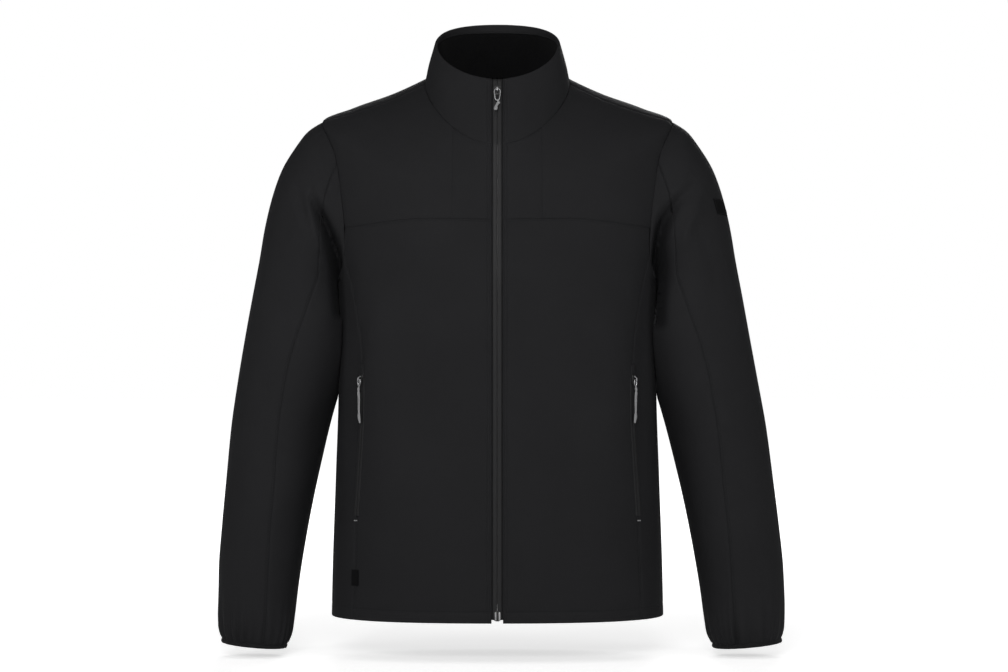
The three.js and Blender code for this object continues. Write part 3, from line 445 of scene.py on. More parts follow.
def fill(top, bottom, left, right, stitches):
    """A grid of places between four sides: rows run down and columns towards the wearer's left."""
    rows = spaced((left["length"] + right["length"]) / 2, stitches.get("top", ()),
                  stitches.get("bottom", ()), [*left["corners"], *right["corners"]])
    columns = spaced((top["length"] + bottom["length"]) / 2, stitches.get("left", ()),
                     stitches.get("right", ()), [*top["corners"], *bottom["corners"]])
    t, s = rows[:, None, None], columns[None, :, None]
    up, low = at_shares(top, columns)[None], at_shares(bottom, columns)[None]
    west, east = at_shares(left, rows)[:, None], at_shares(right, rows)[:, None]
    corner = (1 - s) * ((1 - t) * up[:, :1] + t * low[:, :1]) + s * ((1 - t) * up[:, -1:] + t * low[:, -1:])
    return (1 - t) * up + t * low + (1 - s) * west + s * east - corner


def side_distances(points):
    """How far each point of a grid lies from its four sides, measured along its row or its column."""
    across = np.linalg.norm(np.diff(points, axis=1), axis=-1)
    down = np.linalg.norm(np.diff(points, axis=0), axis=-1)
    from_left = np.pad(np.cumsum(across, axis=1), ((0, 0), (1, 0)))
    from_top = np.pad(np.cumsum(down, axis=0), ((1, 0), (0, 0)))
    return {
        "left": from_left,
        "right": from_left[:, -1:] - from_left,
        "top": from_top,
        "bottom": from_top[-1:] - from_top,
    }


print("a side of 400 mm gets", len(spaced(400, (2,), ())), "steps")

# %% [markdown]
# ## How cloth behaves at a seam
# Where two panels are sewn the cloth turns under and the seam lies in a small valley. Beside a row of
# stitches it is pulled in, and because thread and cloth never shrink quite alike, it puckers a little along
# the seam. A free edge is a fold, so it is as round as half the cloth's thickness.

# %% Edges, stitches and puckers
WALL = 1.8
SEAM_SINK, SEAM_SINK_REACH = 0.5, 2.4
SEAM_ROUNDING = 0.6  # how much of a free edge's rounding a sewn edge shows
STITCH_SINK, STITCH_SINK_REACH = 0.32, 0.7
PUCKER_HEIGHT, PUCKER_REACH = 0.22, 9
WAVE_LENGTHS = (34, 21, 13, 8.5)
WAVE_SUM = 2.6  # about as high as the sum of those waves comes
EDGE_LEAST = 0.12  # the share of the wall that is left at its very edge


def waves(along, seed):
    """An uneven wave between about -1 and 1: sines of several lengths with phases of their own, added."""
    phases = np.random.default_rng(seed).uniform(0, 2 * np.pi, len(WAVE_LENGTHS))
    parts = (np.sin(2 * np.pi * along / length + phase) for length, phase in zip(WAVE_LENGTHS, phases))
    return sum(parts) / WAVE_SUM


def edge_relief(distances, sewn, stitches, seed):
    """The height that seams, stitches and puckers add: wells across each side's distance, and waves along
    it that fade away from it."""
    along = {
        "left": distances["top"], "right": distances["top"],
        "top": distances["left"], "bottom": distances["left"],
    }
    height = np.zeros(distances["left"].shape)
    for number, side in enumerate(("top", "bottom", "left", "right")):
        gap = distances[side]
        lines = stitches.get(side, ())
        if side in sewn:
            height -= SEAM_SINK * sewn[side] * np.exp(-((gap / SEAM_SINK_REACH) ** 2))
        for line in lines:
            height -= STITCH_SINK * np.exp(-(((gap - line) / STITCH_SINK_REACH) ** 2))
        if side in sewn or lines:
            fade = np.exp(-((gap / PUCKER_REACH) ** 2))
            height += PUCKER_HEIGHT * fade * waves(along[side], seed + number)
    return height


def edge_share(distances, sides, wall, sewn):
    """How much of the wall is left near an edge: the half circle that closes it, or all of it further in. A
    sewn edge is held together, so only a part of the rounding shows there."""
    radius = wall / 2
    share = np.ones(distances["left"].shape)
    for side in sides:
        inside = np.clip(distances[side] / radius, 0, 1)
        closing = np.sqrt(np.maximum(1 - (1 - inside) ** 2, EDGE_LEAST ** 2))
        if side in sewn:
            closing = 1 - (1 - closing) * SEAM_ROUNDING * sewn[side]
        share = np.minimum(share, closing)
    return share


print("a wave's first heights:", np.round(waves(np.arange(0, 12, 4.0), 0), 2))

# %% From grids to a mesh
CLOTH_UV = "cloth"


def grid_faces(rows, columns, closed=False, ring=False):
    """Quads of a grid, each going down, across, up and back, so that it faces out of the cloth. A closed
    grid joins its last column to its first, and a ring its last row to its first as well."""
    j, i = np.meshgrid(np.arange(rows if ring else rows - 1), np.arange(columns if closed else columns - 1),
                       indexing="ij")
    here, below = j * columns, (j + 1) % rows * columns
    beside = (i + 1) % columns
    return np.stack([here + i, below + i, below + beside, here + beside], -1).reshape(-1, 4)


def rim_faces(rows, columns, closed):
    """Quads that join the outer grid's border to the inner one's."""
    inner = rows * columns
    top = np.arange(columns)
    bottom = top + inner - columns
    if closed:
        next_top, next_bottom = np.roll(top, -1), np.roll(bottom, -1)
        above = np.stack([next_top + inner, top + inner, top, next_top], -1)
        below = np.stack([bottom + inner, next_bottom + inner, next_bottom, bottom], -1)
        return np.concatenate([above, below])
    left = np.arange(rows) * columns
    loop = np.concatenate([left, bottom[1:], left[::-1][1:] + columns - 1, top[::-1][1:]])
    a, b = loop[:-1], loop[1:]
    return np.stack([b, a, a + inner, b + inner], -1)


def add_mesh(name, points, faces, body="jacket", replaces=(), uv=None, smooth=True, finish=None):
    """A mesh object from points in millimetres and a list of faces, riding on a body. Its finish says for
    each face whether it takes the first or the second material."""
    mesh = bpy.data.meshes.new(name)
    mesh.from_pydata((points * METRES_PER_MM).tolist(), [], faces)
    if uv is not None:
        layer = mesh.uv_layers.new(name=CLOTH_UV)
        corners = np.empty(len(mesh.loops), np.int32)
        mesh.loops.foreach_get("vertex_index", corners)
        layer.data.foreach_set("uv", (uv[corners] * METRES_PER_MM).astype(np.float32).ravel())
    mesh.polygons.foreach_set("use_smooth", np.full(len(mesh.polygons), smooth))
    if finish is not None:
        mesh.polygons.foreach_set("material_index", finish)
    mesh.update()
    piece = bpy.data.objects.new(name, mesh)
    bpy.context.scene.collection.objects.link(piece)
    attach(piece, body)
    if replaces:
        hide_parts(*replaces)
    return piece


def add_wall(name, outer, inner, replaces=(), closed=False):
    """A cloth wall between two grids. Its outer faces and its rim take the first finish, and its inner faces
    the second."""
    rows, columns = outer.shape[:2]
    outside = grid_faces(rows, columns, closed)
    inside = (outside + rows * columns)[:, ::-1]
    rim = rim_faces(rows, columns, closed)
    gaps = side_distances(outer)
    middle = gaps["left"] - gaps["left"][:, -1:] / 2
    uv = np.stack([middle, -gaps["top"]], -1).reshape(-1, 2)
    return add_mesh(
        name,
        np.concatenate([outer.reshape(-1, 3), inner.reshape(-1, 3)]),
        np.concatenate([outside, inside, rim]).tolist(),
        replaces=replaces,
        uv=np.concatenate([uv, uv]),
        finish=np.repeat([0, 1, 0], [len(outside), len(inside), len(rim)]).astype(np.int32),
    )


print("a grid of 3 by 3 points has", len(grid_faces(3, 3)), "faces")

# %% [markdown]
# ## The body's panels
# The front has a yoke in two parts on each side, parted by a short upright seam, and one long panel below
# it. A narrow panel runs down each side, and the back is one piece. A right panel is drawn by the same seams
# with their angles turned round, so its columns still run towards the wearer's left.

# %% Making a panel


def turned(places):
    """The same places on the wearer's right, with the columns the other way round."""
    return places[:, ::-1] * [1, -1]


def swapped(sides):
    """Left for right in a table of sides."""
    names = {"left": "right", "right": "left"}
    return {names.get(side, side): value for side, value in sides.items()}


stitch_lines = []
INNER_RELIEF = 0.6  # how much of the outer side's relief the inner side shows
RIGHT_SEED = 50


def line_at(points, normals, gap, side, distance):
    """The line that lies at one distance from a side: on each row or column, the point between the two whose
    distances lie on either side of it."""
    if side in ("left", "right"):
        points, normals, gap = points.swapaxes(0, 1), normals.swapaxes(0, 1), gap.swapaxes(0, 1)
    if side in ("right", "bottom"):
        points, normals, gap = points[::-1], normals[::-1], gap[::-1]
    k = np.clip((gap < distance).sum(0), 1, len(gap) - 1)
    columns = np.arange(gap.shape[1])
    before, after = gap[k - 1, columns], gap[k, columns]
    t = np.clip((distance - before) / np.maximum(after - before, 1e-6), 0, 1)[:, None]
    place = (1 - t) * points[k - 1, columns] + t * points[k, columns]
    return place, unit((1 - t) * normals[k - 1, columns] + t * normals[k, columns])


def dress(name, base, normals, sewn, stitches, replaces, seed, wall=WALL, closed=False):
    """Gives a grid its edges, seams and puckers, makes its wall, and keeps its lines of stitches. The outer
    side takes all the relief and the inner side most of it."""
    gaps = side_distances(base)
    sides = ("top", "bottom") if closed else ("top", "bottom", "left", "right")
    relief = edge_relief(gaps, sewn, stitches, seed)[..., None]
    turn = (wall / 2 * (1 - edge_share(gaps, sides, wall, sewn)))[..., None]
    outer = base + normals * (relief - turn)
    inner = base + normals * (INNER_RELIEF * relief - wall + turn)
    for side, distances in stitches.items():
        for distance in distances:
            stitch_lines.append(line_at(outer, normals, gaps[side], side, distance))
    piece = add_wall(name, outer, inner, replaces, closed)
    width = np.linalg.norm(np.diff(base, axis=1), axis=-1).sum(1).max()
    length = np.linalg.norm(np.diff(base, axis=0), axis=-1).sum(0).max()
    declare_sheet(piece, base, width, length)


print("the inner side shows", INNER_RELIEF, "of the relief")

# %% Measuring the cloth's cuts
SHORTEST_CUT = 10
LEAST_AREA = 0.3  # the least share of its flat size that a cut's area is given as
cut_sizes = {}


def declare_sheet(piece, base, width, length):
    width, length = max(width, SHORTEST_CUT), max(length, SHORTEST_CUT)
    across, down = np.diff(base, axis=1)[:-1], np.diff(base, axis=0)[:, :-1]
    area = np.linalg.norm(np.cross(across, down), axis=-1).sum()
    area = float(np.clip(area, LEAST_AREA * width * length, width * length)) * METRES_PER_MM ** 2
    flat = (round(width * METRES_PER_MM, 3) + 0.001, round(length * METRES_PER_MM, 3) + 0.001)
    cut_sizes[piece.name] = (*flat, area)


def body_panel(name, node, places, sewn, stitches, seed):
    """A panel that lies on the body's folded surface."""
    dress(name, cloth_point(places), body_normal(places), sewn, stitches, (node,), seed)


def body_pair(name, node, places, sewn, stitches, seed):
    """The panel on the wearer's left, and its like on the right with a seed of its own for the puckers."""
    body_panel(f"{name}_left", f"{node}_left", places, sewn, stitches, seed)
    body_panel(f"{name}_right", f"{node}_right", turned(places), swapped(sewn), swapped(stitches),
               seed + RIGHT_SEED)
    print(name, places.shape[:2], "points on each side")


# %% [markdown]
# ## Where the stitches run
# The long seams are topstitched two millimetres from the edge, on the side that the seam allowance is folded
# to. The fronts have a second row beside the zip, and the hem is turned up and held by a row fourteen
# millimetres above its edge.

# %% Front and yoke
TOPSTITCH = 2
FRONT_ROWS = (2, 5.5)
HEM_ROW = 14
UPRIGHT_SEAM, ARMHOLE_SEAM, SIDE_SEAM = 0.4, 0.4, 1.2  # how deep each seam lies, as a share of the deepest

places = fill(
    top=joined(along_loop(0, neck_angles["front edge"], neck_angles["upright seam"])),
    bottom=joined(yoke_centre_seam),
    left=joined(along_loops(0, yoke_front_loop, FRONT_EDGE_X)),
    right=joined(upright_seam),
    stitches={"left": FRONT_ROWS},
)
body_pair("cloth_yoke_centre", "yoke_centre", places, {"top": 1, "right": UPRIGHT_SEAM, "bottom": 1},
          {"left": FRONT_ROWS}, 1)

stitches = {"left": (TOPSTITCH,)}
places = fill(
    top=joined(shoulder_seam),
    bottom=joined(yoke_side_seam),
    left=joined(along_loop(0, np.pi / 2, neck_angles["upright seam"]), upright_seam),
    right=joined(armhole_between("yoke seam", "shoulder seam")[::-1]),
    stitches=stitches,
)
body_pair("cloth_yoke_side", "yoke_side", places,
          {"top": 1, "right": ARMHOLE_SEAM, "bottom": 1, "left": UPRIGHT_SEAM}, {}, 2)

stitches = {"top": (TOPSTITCH,), "left": FRONT_ROWS, "bottom": (HEM_ROW,), "right": (TOPSTITCH,)}
places = fill(
    top=joined(yoke_centre_seam, yoke_side_seam),
    bottom=joined(along_loop(HEM_LOOP, angle_at_width(HEM_LOOP, FRONT_EDGE_X), side_front_seam[-1, 1])),
    left=joined(along_loops(yoke_front_loop, HEM_LOOP, FRONT_EDGE_X)),
    right=joined(armhole_between("side front seam", "yoke seam")[::-1], side_front_seam),
    stitches=stitches,
)
body_pair("cloth_front", "front_lower", places, {"top": 1, "right": SIDE_SEAM}, stitches, 3)

# %% Side and back


def round_back(line):
    """The same line on the wearer's right, its angles counted on round the back."""
    return line * [1, -1] + [0, 2 * np.pi]


stitches = {"bottom": (HEM_ROW,)}
places = fill(
    top=joined(armhole_between("side back seam", "side front seam")[::-1]),
    bottom=joined(along_loop(HEM_LOOP, side_front_seam[-1, 1], side_back_seam[-1, 1])),
    left=joined(side_front_seam),
    right=joined(side_back_seam),
    stitches=stitches,
)
body_pair("cloth_side", "side_panel", places, {"top": ARMHOLE_SEAM, "right": 1, "left": SIDE_SEAM},
          stitches, 4)

stitches = {"left": (TOPSTITCH,), "right": (TOPSTITCH,), "bottom": (HEM_ROW,)}
left_side = joined(armhole_between("shoulder seam", "side back seam"), side_back_seam)
right_side = {**left_side, "line": round_back(left_side["line"])}
places = fill(
    top=joined(shoulder_seam[::-1], along_loop(0, np.pi / 2, 3 * np.pi / 2, 160), round_back(shoulder_seam)),
    bottom=joined(along_loop(HEM_LOOP, side_back_seam[-1, 1], 2 * np.pi - side_back_seam[-1, 1], 160)),
    left=left_side,
    right=right_side,
    stitches=stitches,
)
body_panel("cloth_back", "back", places, {"top": 1, "right": 1, "left": 1}, stitches, 5)
print("back", places.shape[:2], "points")

# %% [markdown]
# ## The collar
# The stand collar is one cloth turned over at the rim: it comes up the outside, rolls over and goes eleven
# millimetres down the inside, where the dark fleece lining is sewn to it. A real one is made as a band of
# softshell bagged out with its facing, so the rim is a soft fold and never a cut edge.

# %% Collar
COLLAR_WALL = 1.2
RIM_RADIUS = 1.9
TURN_IN = 11
LINING_STITCH = 1.5  # how far the row that holds the lining lies from the turned-in edge
LINING_GAP = 0.4
COLLAR_ROUND = 470  # about how far it is round the collar
ROLL_ROWS = 9
FACING_EDGE_X = 18
FACING_FOOT_LOOP = -0.12
COLLAR_DENTS = np.array([
    # loop, angle in degrees, slant, length, width, height, side
    [-1.5, 36, 4, 0.8, 8, -1.3, RIGHT],
    [-1.4, 31, -3, 0.8, 8, -1.2, LEFT],
    [-2.1, 62, 0, 0.7, 13, 0.9, LEFT],
    [-1.9, 68, 0, 0.8, 12, 0.8, RIGHT],
    [-1.6, 150, 0, 1, 16, 0.8, BOTH],
    [-2.4, 108, 3, 0.7, 11, -0.7, RIGHT],
])
collar_loops = np.linspace(RIM_LOOP, 0, 200)
collar_rise = lengths_along(body_point(np.stack([collar_loops, np.full_like(collar_loops, 0.5)], -1)))
rim_loop = np.interp(RIM_RADIUS, collar_rise, collar_loops)
turn_in_loop = np.interp(RIM_RADIUS + TURN_IN, collar_rise, collar_loops)


def round_collar(loops, front_x):
    """Places from the left front edge round the back to the right front edge, on each of the loops."""
    edge = angle_at_width(loops, front_x)[:, None]
    angles = edge + (2 * np.pi - 2 * edge) * spaced(COLLAR_ROUND, FRONT_ROWS, FRONT_ROWS)
    return np.stack(np.broadcast_arrays(loops[:, None], angles), -1)


def collar_sheet(loops, turns, front_x):
    """The collar's cloth rolled about a line under its rim: each row has a loop and a turn, which is nought
    on the outside and pi on the inside. A row lies a rim's radius along its own turned normal."""
    places = round_collar(loops, front_x)
    lower = np.minimum(places[..., 0], -0.02)
    normal = body_normal(np.stack([lower, places[..., 1]], -1))
    up = unit(body_point(places - [0.02, 0]) - body_point(places + [0.02, 0]))
    turn = np.asarray(turns)[:, None, None]
    facing = normal * np.cos(turn) + up * np.sin(turn)
    axis = body_point(places) + normal * (folds_at(COLLAR_DENTS, places)[..., None] - RIM_RADIUS)
    return axis + facing * RIM_RADIUS, facing


def down_loops(first, last, near_start=()):
    """Loops from one to another, spaced by their distance along the collar."""
    length = abs(np.interp(last, collar_loops, collar_rise) - np.interp(first, collar_loops, collar_rise))
    return first + (last - first) * spaced(length, near_start, ())


inside = down_loops(turn_in_loop, rim_loop, (LINING_STITCH,))
outside = down_loops(rim_loop, 0)
over = np.linspace(np.pi, 0, ROLL_ROWS + 2)[1:-1]
loops = np.concatenate([inside, np.full(ROLL_ROWS, rim_loop), outside])
turns = np.concatenate([np.full(len(inside), np.pi), over, np.zeros(len(outside))])
base, normals = collar_sheet(loops, turns, FRONT_EDGE_X)
dress("collar_cloth", base, normals, {"bottom": 1},
      {"left": FRONT_ROWS, "right": FRONT_ROWS, "top": (LINING_STITCH,)}, ("collar",), 6, COLLAR_WALL)

lining_top = np.interp(RIM_RADIUS + TURN_IN + LINING_GAP, collar_rise, collar_loops)
loops = down_loops(lining_top, FACING_FOOT_LOOP)[::-1]
base, normals = collar_sheet(loops, np.full(len(loops), np.pi), FACING_EDGE_X)
dress("collar_lining", base, normals, {"bottom": 1}, {}, ("collar_facing",), 7, COLLAR_WALL)
print("collar", len(loops), "rows of lining; rim at loop", round(float(rim_loop), 2))

# %% [markdown]
# ## The sleeves
# Each sleeve is cut in two pieces, top and under. Its sections lie between an outer and an inner line, from
# the armhole to the cuff, and near the armhole it takes on the armhole's own shape, as set-in sleeves do. It
# hangs just clear of the body, with a deep fold by the armpit, soft creases at the bend of the arm, and
# small gathers where the elastic binding draws it in.

# %% Sleeve sections
OUTER_X, OUTER_Z, INNER_X, INNER_Z = range(4)
SLEEVE_FRONT, SLEEVE_BACK, SLEEVE_MIDDLE, FRONT_SEAM, BACK_SEAM = range(4, 9)
SLEEVE_LOOPS = np.array([
    [226, -56, 206.5, -262, 68, 72, 3, 27, 189],
    [245, -66, 205, -268, 73, 76, 3, 9, 191],
    [262, -85, 201, -276, 75, 77, 3, -3, 193],
    [279, -112, 196, -288, 75, 76, 2, -12, 194],
    [292, -148, 190, -304, 73, 74, 1, -14, 194],
    [302, -190, 186, -325, 72, 72, 0, -9, 193],
    [309, -232, 187, -348, 71, 70, -1, -4, 192],
    [318, -280, 195, -374, 69, 68, -2, -1, 191],
    [327, -330, 206, -405, 67, 66, -3, 0, 190],
    [337, -388, 217, -442, 65, 64, -4, -1, 189],
    [346, -445, 228, -485, 62.5, 62, -6, -4, 188],
    [352.5, -505, 239.5, -534, 60, 60, -8, -8, 187],
    [359, -568, 250.5, -588, 57, 57, -11, -11.5, 186],
    [364, -630, 260, -644, 54, 54, -14, -16, 184],
    [365, -678, 266.5, -690, 51, 51, -17, -18.5, 182],
    [364, -703, 271, -713, 48, 48, -18, -19, 181],
    [360, -719, 277.5, -727, 43, 43, -19, -19.5, 180],
])
SLEEVE_SHIFTS = {
    # by loop, how much further out the outer line and the inner line lie on each side
    LEFT: ([8.5, 10.6, 11.4, 12.6, 13.6, 16], [0, 2.6, 3.9, 5.2, 6.4, 6.4], [0, 0, 0, 0, 0.5, 1]),
    RIGHT: ([8.5, 10.6, 12.2, 14.2, 16], [0, -1.9, -3.2, -4.5, -4.8], [0, -1.9, -3.2, -4.5, -4.8]),
}
SLEEVE_ROUND = 2.15
SLEEVE_CLEARANCE = 1.2
JOIN_LOOPS = 4
CUFF_LOOP = len(SLEEVE_LOOPS) - 1
SLEEVE_FOLDS = np.array([
    # loop, angle, slant, length, width, height, side
    [3.2, -28, 9, 1.7, 15, -5, BOTH],
    [3.4, 8, 6, 1.5, 12, 3, BOTH],
    [6.6, 52, 2, 3.2, 16, 2.5, BOTH],
    [9.5, -50, 14, 1.1, 26, -3, BOTH],
    [10.6, -30, 12, 1, 24, 2.5, BOTH],
    [9.2, 205, -10, 1.1, 24, -2.5, BOTH],
    [3.2, 210, -9, 1.6, 15, -4, BOTH],
    [4.2, 14, 8, 1, 6, -1.6, RIGHT],
    [4.4, 20, 7, 1.1, 6, -1.4, LEFT],
    [6.3, 24, -5, 0.9, 9, -0.9, LEFT],
    [7.8, 34, 6, 0.8, 10, 0.8, RIGHT],
    [9, 12, 18, 0.45, 15, -1.3, LEFT],
    [9.6, 10, 15, 0.4, 16, 1.1, LEFT],
    [8.8, 20, 16, 0.4, 14, -1.1, RIGHT],
    [10.1, 2, -14, 0.5, 15, -1.2, RIGHT],
    [12.2, 20, 9, 0.7, 14, -0.8, BOTH],
    [13.3, 42, -6, 0.6, 12, 0.8, LEFT],
    [8.2, 150, 12, 0.7, 16, -1.1, BOTH],
    [11.4, 160, -12, 0.6, 16, 1, RIGHT],
])
CREASES = [
    # side, and for each knot its distance from the centre line, its height, its width and its depth
    (RIGHT, [(240, -146, 5, -2), (231, -162, 5.5, -9), (221, -184, 6, -24), (210, -212, 6.5, -40),
             (203, -240, 6.5, -44), (201, -266, 6.5, -40), (200, -300, 6, -22)]),
    (RIGHT, [(243, -148, 5, 1), (239, -168, 5.5, 3), (234, -190, 6, 3.5), (226, -216, 6, 2.5)]),
    (RIGHT, [(256, -140, 6, -1.5), (248, -165, 7, -2.8), (238, -192, 7, -1.5)]),
    (LEFT, [(250, -136, 5, -2), (234, -153, 6, -6), (219, -172, 7, -16), (208, -196, 8, -30),
            (203, -226, 8.5, -44), (203, -262, 8.5, -44), (204, -310, 7, -24)]),
    (LEFT, [(262, -150, 6, 1), (252, -172, 7, 2.5), (240, -200, 8, 2.5), (233, -230, 8, 1)]),
]
PUCKER_LOOPS, PUCKER_WAVES = [13.3, 14, 15, 15.7, 16], [0, 0.7, 2.1, 2, 1.1]
PUCKER_COUNT = 24
CREASE_POINTS = 36
OUTER_DEGREES = 60
SLEEVE_STEP_DOWN, SLEEVE_STEP_ROUND = 4, 2.6
TOP_ROUND, UNDER_ROUND = 300, 160  # about how far it is round each piece of the sleeve
SMALL_STEP = 0.02
FOLDS_START = 0.6  # the loop from which the folds have their full height
BODY_WAY_END = 0.5  # the loop at which the body's normals have faded out
CREASE_EDGE = 0.3  # a crease is whole where the section's cosine is over this

print("sleeve sections:", len(SLEEVE_LOOPS), "folds:", len(SLEEVE_FOLDS), "creases:", len(CREASES))

# %% Points of a sleeve's section


def shifted_sections(side):
    """The table of sections with the outer and the inner line moved as they hang on that side."""
    loops, outer, inner = SLEEVE_SHIFTS[side]
    table = SLEEVE_LOOPS.copy()
    table[:, OUTER_X] += np.interp(np.arange(len(table)), loops, outer)
    table[:, INNER_X] += np.interp(np.arange(len(table)), loops, inner)
    return table


SLEEVE_SIDES = {side: shifted_sections(side) for side in (LEFT, RIGHT)}


def sleeve_axis(row):
    """The middle between a section's outer and inner points, and the step from it to the outer one."""
    middle = np.stack([(row[..., OUTER_X] + row[..., INNER_X]) / 2, row[..., SLEEVE_MIDDLE],
                       (row[..., OUTER_Z] + row[..., INNER_Z]) / 2], -1)
    reach = np.stack([(row[..., OUTER_X] - row[..., INNER_X]) / 2, np.zeros(row.shape[:-1]),
                      (row[..., OUTER_Z] - row[..., INNER_Z]) / 2], -1)
    return middle, reach


def sleeve_point(loop, degrees, side=LEFT):
    """The middle plus the reach times the superellipse's sine, less the depth times its cosine along y."""
    row = read_rows(SLEEVE_SIDES[side], loop)
    middle, reach = sleeve_axis(row)
    across, ahead = rounded_turn(degrees * DEGREE, SLEEVE_ROUND)
    depth = np.where(ahead > 0, row[..., SLEEVE_FRONT], row[..., SLEEVE_BACK])
    depth_step = np.stack([np.zeros_like(ahead), -depth * ahead, np.zeros_like(ahead)], -1)
    return middle + reach * across[..., None] + depth_step


def first_degrees(points):
    """The degrees round the first section at which points lie: the superellipse undone."""
    middle, reach = sleeve_axis(SLEEVE_LOOPS[0])
    offset = points - middle
    across = offset @ reach / (reach @ reach)
    depth = np.where(offset[..., 1] < 0, SLEEVE_LOOPS[0, SLEEVE_FRONT], SLEEVE_LOOPS[0, SLEEVE_BACK])
    ahead = -offset[..., 1] / depth
    half = SLEEVE_ROUND / 2
    degrees = np.arctan2(signed_power(across, half), signed_power(ahead, half)) / DEGREE
    return np.where(degrees < -100, degrees + 360, degrees)


print("elbow's outer point:", np.round(sleeve_point(8.0, 90.0), 1))

# %% Columns round the sleeve
TOP_EDGES = armhole_step("back sleeve seam")


def even_degrees(row, column):
    """Columns spread evenly between the seams, over the top piece and then the under piece."""
    front, back = row[..., FRONT_SEAM], row[..., BACK_SEAM]
    top = front + (back - front) * column / TOP_EDGES
    under = back + (360 + front - back) * (column - TOP_EDGES) / (ARMHOLE_STEPS - TOP_EDGES)
    return np.where(column <= TOP_EDGES, top, under)


def column_degrees(loop, column):
    """As the armhole's own degrees at first, then evenly spaced between the seams."""
    own_degrees = first_degrees(cloth_point(armhole_at(column)))
    own_degrees = np.where((column > TOP_EDGES) & (own_degrees < 100), own_degrees + 360, own_degrees)
    t = np.minimum(1, loop / (JOIN_LOOPS + 2))
    own = 1 - t * t * (3 - 2 * t)
    even = even_degrees(read_rows(SLEEVE_LOOPS, loop), column)
    return even + own * (own_degrees - even_degrees(SLEEVE_LOOPS[0], column))


print("columns over the top piece:", TOP_EDGES, "and in all:", ARMHOLE_STEPS)

# %% Room beside the body
side_loops = np.linspace(0, HEM_LOOP, 400)
side_heights = body_point(np.stack([side_loops, np.full_like(side_loops, np.pi / 2)], -1))[:, 2]


def keep_off_body(points, clearance):
    """Below the underarm, a point nearer to the body's loop than the clearance moves straight out to it."""
    z = np.minimum(points[..., 2], BODY_LOOPS[UNDERARM_LOOP, Z_SIDE])
    row = loop_rows(np.interp(-z, -side_heights, side_loops))
    depth = np.where(points[..., 1] < 0, row[..., FRONT], row[..., BACK])
    across = np.abs(points[..., 0]) / (row[..., HALF_WIDTH] + clearance)
    ahead = np.abs(points[..., 1]) / (depth + clearance)
    power = row[..., POWER]
    out = (across ** power + ahead ** power) ** (1 / power)
    near = (out < 1) & (points[..., 2] <= BODY_LOOPS[UNDERARM_LOOP, Z_SIDE])
    scale = np.where(near, 1 / out, 1)
    return points * np.stack([scale, scale, np.ones_like(scale)], -1)


print("loop beside the underarm:", np.round(np.interp(270, -side_heights, side_loops), 2))

# %% Sleeve surface


def cuff_puckers(loop, column, side):
    """Small waves round the sleeve's end: a cosine of many turns, whose pitch and height vary by slower
    sines of the same turn."""
    turn = column * 2 * np.pi / ARMHOLE_STEPS
    uneven = turn + 0.09 * np.sin(2 * turn + side) + 0.06 * np.sin(5 * turn + 2 * side)
    height = 0.75 + 0.35 * np.sin(3 * turn + 1.3 * side)
    return np.interp(loop, PUCKER_LOOPS, PUCKER_WAVES) * height * np.cos(PUCKER_COUNT * uneven)


def creases(points, ahead, side):
    """Creases drawn on the flat view: each brings the cloth forward by the height at its nearest point,
    times a bell in the distance from it. They fade out where the cloth turns away from the front."""
    total = np.zeros(points.shape[:-1])
    for crease_side, knots in CREASES:
        if crease_side == side:
            line = spline(knots, CREASE_POINTS)
            gaps = np.linalg.norm(points[..., None, [0, 2]] - line[:, :2], axis=-1)
            nearest = gaps.argmin(-1)
            width, height = line[nearest, 2], line[nearest, 3]
            total += height * np.exp(-((gaps.min(-1) / width) ** 2))
    return total * np.clip(ahead / CREASE_EDGE, 0, 1)


def sleeve_surface(loop, column, side):
    """The sleeve's outer face on the wearer's left: its section, moved by what the armhole asks near it, and
    then out by the folds and the puckers."""
    degrees = column_degrees(loop, column)
    armhole_points = cloth_point(armhole_at(column))
    joining = (np.maximum(0, 1 - loop / JOIN_LOOPS) ** 2)[..., None]
    first = np.zeros_like(loop)
    start = sleeve_point(first, column_degrees(first, column), side)
    points = sleeve_point(loop, degrees, side) + joining * (armhole_points - start)
    middle, _ = sleeve_axis(read_rows(SLEEVE_SIDES[side], loop))
    turned_degrees = np.where(degrees > 270, degrees - 360, degrees)
    lift = fold_height(SLEEVE_FOLDS, loop, turned_degrees, side) + cuff_puckers(loop, column, side)
    start_fade = np.clip(loop / FOLDS_START, 0, 1) ** 2
    forward = creases(points, np.cos(degrees * DEGREE), side) * start_fade
    points = points + unit(points - middle) * (lift * start_fade)[..., None]
    points = points - np.stack([0 * forward, forward, 0 * forward], -1)
    return keep_off_body(points, np.minimum(SLEEVE_CLEARANCE, SLEEVE_CLEARANCE * loop))

print("puckers round the cuff:", PUCKER_COUNT)

# %% Normals and pieces of the sleeve


def grid_normals(points, closed=False):
    """The cross of the steps down and round, each taken between the neighbours on its two sides."""
    before, after = np.roll(points, 1, axis=1), np.roll(points, -1, axis=1)
    around = after - before if closed else np.gradient(points, axis=1)
    return unit(np.cross(np.gradient(points, axis=0), around))


def smooth_normals(loop, column, side):
    """Normals from small steps along the sleeve and round it, held inside its ends."""
    above, below = np.maximum(loop - SMALL_STEP, 0), np.minimum(loop + SMALL_STEP, CUFF_LOOP)
    down = sleeve_surface(below, column, side) - sleeve_surface(above, column, side)
    before, after = column - SMALL_STEP, column + SMALL_STEP
    around = sleeve_surface(loop, after, side) - sleeve_surface(loop, before, side)
    return unit(np.cross(down, around))


outer_line = np.linspace(0, CUFF_LOOP, 300)
sleeve_reach = lengths_along(sleeve_point(outer_line, np.full_like(outer_line, OUTER_DEGREES)))
row_shares = spaced(sleeve_reach[-1], (), (), step=SLEEVE_STEP_DOWN)
sleeve_rows = np.interp(row_shares * sleeve_reach[-1], sleeve_reach, outer_line)


